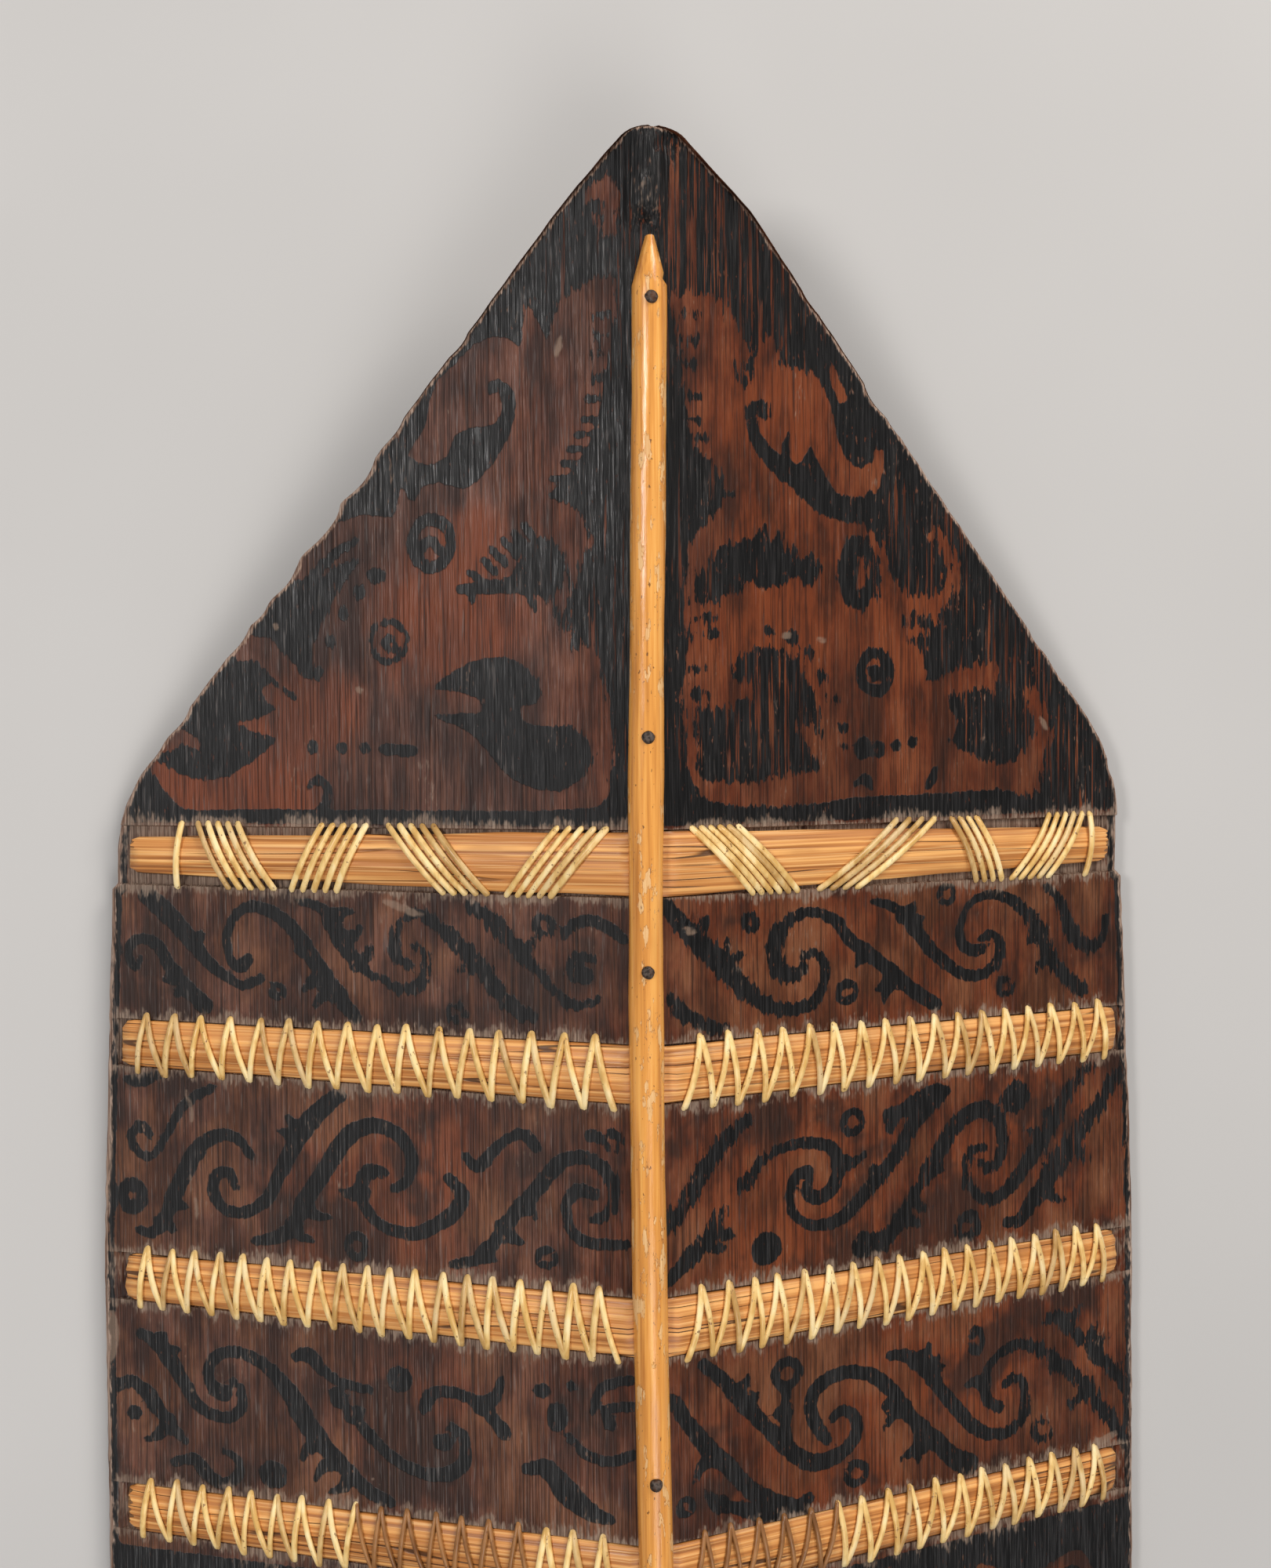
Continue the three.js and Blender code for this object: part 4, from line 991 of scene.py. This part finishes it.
# Cross splints
def splints(material):
    across = np.linspace(-1, 1, SPLINT_COLUMNS)
    along = np.linspace(-1, 1, SPLINT_ROWS)[:, None]
    for i, row in enumerate(BAND_ROWS):
        band = band_of(i)
        end_line = across * END_ACROSS + BAND_LINE * i
        ragged = uneven(SPLINT_RAGGED_END, np.sign(along) * END_LINE, end_line, i)
        x = along * band["half"] * (1 - SPLINT_RAGGED_END[0] - ragged)
        half = splint_half_width(band, x) * (1 + uneven(SPLINT_WIDTH_WAVE, x, row, i))
        to_end = band["half"] - np.abs(x)
        half = half * np.clip(END_WIDTH + to_end / END_WIDTH_RUN, 0, 1)
        fibres = uneven(SPLINT_FIBRE, x * FIBRE_ALONG, across * FIBRES_ACROSS, i)
        fibres = fibres + uneven(SPLINT_WAVE, x * WAVE_ALONG, across * FIBRES_ACROSS, i)
        crown = (SPLINT_CROWN - SPLINT_SIDE) * (1 - np.abs(across) ** CROWN_POWER)
        lift = SPLINT_SIDE + crown + fibres * (1 - across ** FIBRE_POWER)
        lift = lift * np.clip(END_HEIGHT + to_end / END_HEIGHT_RUN, 0, 1)
        top = front_height(x) + lift
        past_cane = np.clip((np.abs(x) - CANE_WIDTH / 2 - CANE_SWAY) / CANE_CLEARANCE_RUN, 0, 1)
        top = np.minimum(top, CANE_BASE - CHANNEL_GAP + past_cane * CANE_CLEARANCE_RISE)
        floor = front_height(x[:, [-1, 0]]) - CHANNEL_DEPTH + CHANNEL_GAP
        y = band_row(i, x) + across * half
        rings = np.stack([
            np.hstack([x, x[:, [-1, 0]]]),
            np.hstack([y, y[:, [-1, 0]]]),
            np.hstack([top, floor]),
        ], axis=-1)
        strip = Bundle()
        strip.add(rings[:, ::-1], tint=0.4 + 0.2 * (i % 3) / 2)
        node = f"cross_splint_{i + 1}"
        strip.piece(f"split_cane_splint_{i + 1}", material, "splint", [node], sharp_angle=70)


# Lacing
def strand(start, end, leg, height_at, up, width, sides=STRAND_SIDES):
    """Rings of one strand from hole to hole, following the leg's rise above the board."""
    share = np.array([at for at, _ in leg])
    lift = np.array([rise for _, rise in leg])
    x = start[0] + (end[0] - start[0]) * share
    y = start[1] + (end[1] - start[1]) * share
    bow = math.copysign(STRAND_BOW, start[0]) * abs(end[1] - start[1]) * np.sin(math.pi * share)
    path = np.column_stack([x + bow, y, height_at(x) + lift])
    thin = np.where((share < 0.02) | (share > 0.98), HOLE_THINNING, 1.0)
    return swept(path, up, thin * width / 2, thin * STRAND_HEIGHT / 2, sides)


def zigzag_holes(i, draw):
    """Holes of one band as rows of (x, y), left and right of the ridge, from the ridge outwards."""
    band = band_of(i)
    sides = []
    for side, stitches in zip((-1, 1), STITCHES[i - 1]):
        pitch = (OUTER_HOLE - INNER_HOLE) / stitches
        holes = [(INNER_HOLE, -1)]
        for k in range(stitches):
            holes.append((INNER_HOLE + pitch * (k + TOP_HOLE_SHARE), 1))
            holes.append((INNER_HOLE + pitch * (k + 1), -1))
        placed = []
        for away, up in holes:
            x = side * (away + draw.uniform(-HOLE_WANDER_X, HOLE_WANDER_X))
            wander = draw.uniform(-HOLE_WANDER_Y, HOLE_WANDER_Y)
            y = up * (splint_half_width(band, x) + ROW_OFFSET + wander)
            placed.append((x, float(band_row(i, x) + y)))
        sides.append(placed)
    return sides


def group_legs(i):
    """Pairs of holes for the slanting strands of an end band."""
    outwards = 1 if i == 0 else -1
    legs = []
    for outer_from, outer_to, inner_from, inner_to, count in GROUPS:
        outers = np.linspace(outer_from, outer_to, count)
        inners = np.linspace(inner_from, inner_to, count)
        for outer, inner in zip(outers, inners):
            high = (outer, band_row(i, outer) + outwards * GROUP_ROW)
            low = (inner, band_row(i, inner) - outwards * INNER_GROUP_ROW)
            legs.append((low, high))
    return legs


def slope_up(x):
    return np.array([math.copysign(SLOPE, x), 0.0, 1.0])


def band_legs(i):
    """Pairs of holes joined on the face, and rows of holes joined on the back."""
    if band_of(i) is END_BAND:
        legs = group_legs(i)
        return legs, [[low for low, _ in legs], [high for _, high in legs]]
    sides = zigzag_holes(i, np.random.default_rng(HOLE_SEED + i))
    legs = [pair for holes in sides for pair in zip(holes[:-1], holes[1:])]
    return legs, [holes[start::2] for holes in sides for start in (0, 1)]


def all_holes():
    return [hole for i in range(len(BAND_ROWS)) for row in band_legs(i)[1] for hole in row]


def lacings(material):
    for i in range(len(BAND_ROWS)):
        draw = np.random.default_rng(STRAND_SEED + i)
        laced = Bundle()
        legs, rows_behind = band_legs(i)
        for start, end in legs:
            middle = (start[0] + end[0]) / 2
            old = i == OLD_BAND and any(first < middle < last for first, last in OLD_RUNS)
            width = STRAND_WIDTH * draw.uniform(*WIDTH_SPREAD) * (OLD_WIDTH if old else 1)
            tint = draw.uniform(*(OLD_TINTS if old else FRESH_TINTS))
            laced.add(strand(start, end, LEG, front_height, slope_up(middle), width), tint)
        for holes in rows_behind:
            for start, end in zip(holes[0::2], holes[1::2]):
                up = slope_up(start[0])
                run = strand(start, end, BACK_LEG, back_height, up, STRAND_WIDTH, BACK_STRAND_SIDES)
                laced.add(run, draw.uniform(*BACK_TINTS))
        laced.piece(f"lacing_strands_{i + 1}", material, "lacing", [f"lacing_{i + 1}"], sharp_angle=80)


# Materials
class Graph:
    """Short names for the shader nodes of one material."""

    def __init__(self, name):
        self.material = bpy.data.materials.new(name)
        self.material.use_nodes = True
        self.tree = self.material.node_tree
        self.shader = self.tree.nodes["Principled BSDF"]
        self.where = self.node("TexCoord", {}).outputs["Object"]

    def put(self, socket, value):
        if isinstance(value, bpy.types.NodeSocket):
            self.tree.links.new(value, socket)
        else:
            socket.default_value = value

    def node(self, kind, inputs, **settings):
        made = self.tree.nodes.new("ShaderNode" + kind)
        for key, value in settings.items():
            setattr(made, key, value)
        for key, value in inputs.items():
            self.put(made.inputs[key], value)
        return made

    def noise(self, per_metre, detail=3.0, roughness=0.55, shift=0.0):
        """Noise whose bumps come so many times a metre along X, Y and Z."""
        spot = {"Vector": self.where, "Scale": per_metre, "Location": (shift, shift, shift)}
        vector = self.node("Mapping", spot).outputs[0]
        inputs = {"Vector": vector, "Scale": 1.0, "Detail": detail, "Roughness": roughness}
        return self.node("TexNoise", inputs).outputs[0]

    def attribute(self, name):
        return self.node("Attribute", {}, attribute_name=name).outputs["Fac"]

    def math(self, operation, first, second=0.0):
        return self.node("Math", {0: first, 1: second}, operation=operation).outputs[0]

    def plus(self, first, second):
        return self.math("ADD", first, second)

    def minus(self, first, second):
        return self.math("SUBTRACT", first, second)

    def times(self, first, second):
        return self.math("MULTIPLY", first, second)

    def step(self, value, low, high, start=0.0, end=1.0):
        """Smooth change from start to end as the value goes from low to high."""
        inputs = {"Value": value, "From Min": low, "From Max": high, "To Min": start, "To Max": end}
        return self.node("MapRange", inputs, interpolation_type="SMOOTHSTEP").outputs[0]

    def mix(self, share, first, second):
        return self.node("Mix", {0: share, 6: first, 7: second}, data_type="RGBA").outputs[2]

    def wash(self, under, over, value, low, high, share):
        """One colour over another, up to a share, as the value goes from low to high."""
        return self.mix(self.step(value, low, high, 0.0, share), under, over)

    def blend(self, share, first, second):
        return self.node("Mix", {0: share, 2: first, 3: second}, data_type="FLOAT").outputs[0]

    def ramp(self, value, *stops):
        made = self.node("ValToRGB", {"Fac": value})
        while len(made.color_ramp.elements) < len(stops):
            made.color_ramp.elements.new(0.5)
        for element, (position, colour) in zip(made.color_ramp.elements, stops):
            element.position = position
            element.color = (*colour, 1.0)
        return made.outputs[0]

    def bump(self, height, strength, distance):
        inputs = {"Height": height, "Strength": strength, "Distance": distance}
        return self.node("Bump", inputs).outputs[0]

    def finish(self, colour, roughness, normal, **others):
        self.put(self.shader.inputs["Base Color"], colour)
        self.put(self.shader.inputs["Roughness"], roughness)
        self.put(self.shader.inputs["Normal"], normal)
        for key, value in others.items():
            self.put(self.shader.inputs[key.replace("_", " ")], value)
        return self.material


def colour(red, green, blue):
    return (red, green, blue, 1.0)


def painted_wood():
    g = Graph("painted_wood")
    grain = g.noise((960, 18, 420), 2, 0.55)
    fibre = g.noise((1500, 42, 700), 2, 0.55, 3.0)
    sparkle = g.noise((1000, 62, 420), 2, 0.55, 37.0)
    blotch = g.noise((16, 9, 16), 3, 0.5, 7.0)
    mottle = g.noise((75, 30, 75), 4, 0.6, 29.0)
    streak = g.noise((800, 20, 420), 3, 0.6, 11.0)
    fleck = g.noise((900, 260, 900), 2, 0.5, 17.0)
    wobble = g.noise((420, 260, 300), 2, 0.5, 23.0)
    dab = g.noise((620, 110, 420), 3, 0.6, 31.0)
    smoke = g.noise((26, 22, 26), 4, 0.6, 41.0)
    panels = g.attribute("panel")
    side = g.node("SeparateXYZ", {0: g.where}).outputs[0]
    leftness = g.step(g.plus(side, g.times(blotch, 0.09)), 0.10, -0.03)

    warm = g.ramp(mottle, (0.38, (0.052, 0.0140, 0.0060)), (0.5, (0.118, 0.0265, 0.0090)),
                  (0.62, (0.178, 0.050, 0.0185)))
    # The left half's wood is painted greyer and less red: a painted sheen of the light from the left.
    sheen_grey_wood = g.ramp(mottle, (0.38, (0.034, 0.0130, 0.0085)), (0.5, (0.074, 0.0270, 0.0160)),
                  (0.62, (0.125, 0.052, 0.0340)))
    wood = g.mix(leftness, warm, sheen_grey_wood)
    redness = g.plus(g.attribute("warm"), g.times(mottle, 1.6))
    wood = g.wash(wood, colour(0.185, 0.042, 0.0120), redness, 0.85, 1.7, 0.8)
    wood = g.wash(wood, colour(0.034, 0.0145, 0.0095), blotch, 0.49, 0.40, 0.38)
    tan = g.times(g.step(smoke, 0.47, 0.61, 0.05, 0.62), panels)
    tan_wood = g.ramp(mottle, (0.4, (0.092, 0.0310, 0.0120)), (0.6, (0.195, 0.080, 0.036)))
    wood = g.mix(tan, wood, tan_wood)
    sooty = g.times(g.step(smoke, 0.48, 0.38, 0.0, 0.8), panels)
    wood = g.mix(sooty, wood, colour(0.026, 0.0130, 0.0092))
    wood = g.wash(wood, colour(0.014, 0.0060, 0.0040), grain, 0.55, 0.63, 0.50)
    wood = g.wash(wood, colour(0.240, 0.100, 0.052), grain, 0.44, 0.36, 0.16)
    wood = g.wash(wood, colour(0.012, 0.0055, 0.0038), fibre, 0.55, 0.62, 0.50)

    dry = g.attribute("dry")
    ragged = g.times(g.minus(wobble, 0.5), 1.5)
    dabs = g.times(g.times(g.minus(dab, 0.5), dry), 17.0)
    inside = g.step(g.plus(g.attribute("paint"), g.plus(ragged, dabs)), 0.22, -0.22)
    gap_at = g.minus(0.76, g.times(dry, 0.22))
    gaps = g.step(g.minus(streak, gap_at), 0.0, 0.03, 0.0, 0.92)
    flakes = g.step(fleck, 0.66, 0.70, 0.0, 0.6)
    held = g.minus(1.0, g.math("MAXIMUM", gaps, flakes))
    painted = g.times(inside, held)
    black = g.ramp(fibre, (0.40, (0.019, 0.018, 0.018)), (0.48, (0.0085, 0.0082, 0.0082)),
                   (0.58, (0.0032, 0.0032, 0.0034)))
    surface = g.mix(painted, wood, black)
    # Painted glints: fine pale streaks over wood and paint, stronger on the left half, a painted highlight
    # of the light on the grain.
    painted_glint = g.times(g.step(sparkle, 0.62, 0.70), g.step(leftness, 0.0, 1.0, 0.10, 0.26))
    surface = g.mix(painted_glint, surface, colour(0.200, 0.170, 0.155))

    scar = g.step(g.plus(g.attribute("scar"), ragged), 0.4, -0.5, 0.0, 0.6)
    surface = g.mix(scar, surface, colour(0.25, 0.17, 0.12))
    # Dust at the splints, past their ends and around the holes, and on the nose a painted sheen in the same
    # colour.
    grit = g.plus(g.times(fleck, 1.7), g.times(mottle, 1.7))
    dusty = g.step(g.plus(g.attribute("dust"), grit), 2.05, 2.65, 0.0, 0.8)
    dust = g.ramp(fibre, (0.4, (0.32, 0.235, 0.175)), (0.6, (0.130, 0.085, 0.060)))
    surface = g.mix(dusty, surface, dust)
    # Pale worn rim along the outline; its pale colour is partly wear and partly a painted highlight on the
    # edge.
    rim = g.step(g.plus(g.attribute("edge"), g.times(fleck, -3.4)), 0.1, -0.9, 0.0, 0.85)
    worn_rim_and_highlight = g.ramp(fibre, (0.4, (0.50, 0.355, 0.27)), (0.6, (0.17, 0.085, 0.052)))
    surface = g.mix(rim, surface, worn_rim_and_highlight)

    rough = g.blend(painted, g.step(grain, 0.4, 0.6, 0.38, 0.56), g.step(fibre, 0.4, 0.6, 0.28, 0.5))
    rough = g.blend(g.math("MAXIMUM", dusty, rim), rough, 0.8)
    relief = g.minus(g.times(painted, 0.12), grain)
    relief = g.minus(relief, g.times(fibre, 0.4))
    sheen = g.step(leftness, 0.0, 1.0, 0.15, 0.36)
    return g.finish(surface, rough, g.bump(relief, 1.0, 0.0010), Specular_IOR_Level=sheen)


def ridge_cane_skin():
    g = Graph("ridge_cane_skin")
    long = g.noise((700, 14, 500), 4, 0.6, 2.0)
    fine = g.noise((2600, 70, 1800), 3, 0.6, 5.0)
    patch = g.noise((30, 18, 30), 3, 0.55, 8.0)
    peel = g.noise((240, 60, 200), 4, 0.65, 13.0)
    speck = g.noise((900, 420, 900), 2, 0.5, 19.0)
    base = g.ramp(long, (0.3, (0.50, 0.185, 0.034)), (0.52, (0.78, 0.335, 0.068)),
                  (0.75, (0.93, 0.50, 0.135)))
    base = g.wash(base, colour(0.60, 0.235, 0.045), patch, 0.5, 0.72, 0.5)
    peeled = g.ramp(fine, (0.3, (0.62, 0.32, 0.10)), (0.7, (0.90, 0.62, 0.31)))
    base = g.wash(base, peeled, peel, 0.58, 0.61, 0.8)
    border = g.math("ABSOLUTE", g.minus(peel, 0.585))
    base = g.wash(base, colour(0.30, 0.105, 0.02), border, 0.009, 0.002, 0.6)
    base = g.wash(base, colour(0.11, 0.045, 0.018), speck, 0.69, 0.73, 0.8)
    rough = g.step(peel, 0.55, 0.62, 0.2, 0.5)
    skin = g.step(peel, 0.58, 0.60, 1.0, 0.0)
    relief = g.plus(skin, g.times(fine, 0.35))
    return g.finish(base, rough, g.bump(relief, 0.5, 0.0004), Specular_IOR_Level=0.5)


def splint_cane():
    g = Graph("splint_cane")
    tint = g.attribute("tint")
    strands = g.noise((5, 520, 8), 2, 0.55, 4.0)
    fine = g.noise((14, 1400, 12), 2, 0.55, 9.0)
    patch = g.noise((22, 60, 22), 3, 0.5, 15.0)
    crack = g.noise((6, 230, 8), 0, 0.5, 21.0)
    broken = g.noise((18, 130, 10), 1, 0.5, 27.0)
    base = g.ramp(strands, (0.38, (0.33, 0.115, 0.026)), (0.5, (0.59, 0.235, 0.058)),
                  (0.64, (0.86, 0.44, 0.138)))
    base = g.wash(base, colour(0.46, 0.175, 0.042), patch, 0.50, 0.64, 0.45)
    base = g.wash(base, colour(0.90, 0.54, 0.22), fine, 0.54, 0.64, 0.5)
    base = g.wash(base, colour(0.68, 0.31, 0.09), tint, 0.35, 0.65, 0.15)
    line = g.math("ABSOLUTE", g.minus(crack, 0.5))
    open_crack = g.times(g.step(line, 0.022, 0.006), g.step(broken, 0.44, 0.56))
    base = g.mix(g.times(open_crack, 0.9), base, colour(0.060, 0.022, 0.008))
    rough = g.step(strands, 0.3, 0.7, 0.34, 0.52)
    relief = g.minus(g.plus(strands, g.times(fine, 0.4)), open_crack)
    return g.finish(base, rough, g.bump(relief, 0.7, 0.0006), Specular_IOR_Level=0.45)


def lacing_cane():
    g = Graph("lacing_cane")
    tint = g.attribute("tint")
    tone = g.noise((150, 60, 150), 3, 0.6, 6.0)
    speck = g.noise((520, 380, 520), 3, 0.65, 12.0)
    pale = g.ramp(tone, (0.4, (0.70, 0.42, 0.125)), (0.52, (0.90, 0.63, 0.25)),
                  (0.64, (0.96, 0.76, 0.40)))
    dark = g.ramp(tone, (0.3, (0.17, 0.066, 0.018)), (0.7, (0.40, 0.18, 0.055)))
    base = g.mix(g.step(tint, 0.1, 0.75), dark, pale)
    base = g.wash(base, colour(0.17, 0.065, 0.02), speck, 0.62, 0.70, 0.8)
    rough = g.step(tone, 0.3, 0.7, 0.28, 0.45)
    return g.finish(base, rough, g.bump(speck, 0.3, 0.0003), Specular_IOR_Level=0.5)


def nail_iron():
    g = Graph("nail_iron")
    pits = g.noise((900, 900, 900), 4, 0.65, 1.0)
    rust = g.noise((350, 350, 350), 3, 0.6, 14.0)
    base = g.ramp(pits, (0.4, (0.026, 0.019, 0.015)), (0.6, (0.150, 0.115, 0.095)))
    base = g.wash(base, colour(0.11, 0.045, 0.02), rust, 0.52, 0.66, 0.7)
    rough = g.step(pits, 0.3, 0.7, 0.45, 0.75)
    return g.finish(base, rough, g.bump(pits, 0.6, 0.0004), Metallic=0.7)


def pale_floor():
    g = Graph("pale_floor")
    cloud = g.noise((3, 3, 3), 3, 0.5)
    base = g.ramp(cloud, (0.3, (0.50, 0.49, 0.475)), (0.7, (0.55, 0.54, 0.525)))
    return g.finish(base, g.step(cloud, 0.3, 0.7, 0.75, 0.85), g.bump(cloud, 0.05, 0.001))


# Floor, light and camera, in metres apart from the angles in degrees and the lens
FLOOR_HALF = 6.0
FLOOR_DROP = 0.0003
CAMERA_SPOT = (-0.0675, 0.395, 0.7596)
CAMERA_TURNS = (("Z", 0.42), ("X", 1.9), ("Y", 5.35))
FOCAL_PIXELS = 2461
IMAGE_HEIGHT = 2000
SENSOR = 36.0
NEAREST_SEEN = 0.01
# Name, place, size, watts and colour of each lamp; each one faces the middle of the visible part
LAMPS = [
    ("left_softbox", (-0.95, 0.75, 1.45), 0.35, 11.0, (1.0, 0.97, 0.95)),
    ("right_softbox", (0.95, 1.65, 1.25), 0.8, 24.0, (1.0, 0.95, 0.90)),
    ("overhead", (0.35, -0.9, 2.2), 1.2, 19.0, (1.0, 0.98, 0.96)),
]
LAMP_TARGET = (0.0, 0.30, 0.05)
WORLD_LIGHT = 0.3
WORLD_TONE = (0.95, 0.96, 1.0)


def floor():
    mesh = bpy.data.meshes.new("pale_floor")
    turns = ((-1, -1), (1, -1), (1, 1), (-1, 1))
    corners = [(x * FLOOR_HALF, y * FLOOR_HALF, -FLOOR_DROP) for x, y in turns]
    mesh.from_pydata(corners, [], [(0, 1, 2, 3)])
    mesh.materials.append(pale_floor())
    ground = bpy.data.objects.new("pale_floor", mesh)
    bpy.context.scene.collection.objects.link(ground)


def lamps():
    for name, spot, size, power, tone in LAMPS:
        light = bpy.data.lights.new(name, "AREA")
        light.size = size
        light.energy = power
        light.color = tone
        lamp = bpy.data.objects.new(name, light)
        lamp.location = spot
        aim = lamp.location - Vector(LAMP_TARGET)
        lamp.rotation_euler = aim.to_track_quat("Z", "Y").to_euler()
        bpy.context.scene.collection.objects.link(lamp)
    world = bpy.data.worlds.new("studio")
    world.use_nodes = True
    background = world.node_tree.nodes["Background"].inputs
    background["Color"].default_value = colour(*WORLD_TONE)
    background["Strength"].default_value = WORLD_LIGHT
    bpy.context.scene.world = world


def camera():
    lens = bpy.data.cameras.new("view")
    lens.sensor_width = SENSOR
    lens.lens = FOCAL_PIXELS / IMAGE_HEIGHT * SENSOR
    lens.clip_start = NEAREST_SEEN
    view = bpy.data.objects.new("view", lens)
    turn = Matrix.Identity(3)
    for axis, degrees in CAMERA_TURNS:
        turn = turn @ Matrix.Rotation(math.radians(degrees), 3, axis)
    view.matrix_world = Matrix.Translation(CAMERA_SPOT) @ turn.transposed().to_4x4()
    bpy.context.scene.collection.objects.link(view)
    bpy.context.scene.camera = view


bpy.context.scene.view_settings.view_transform = "Standard"
camera()
lamps()
floor()
board(painted_wood())
ridge_cane(ridge_cane_skin())
nails(nail_iron())
splints(splint_cane())
lacings(lacing_cane())
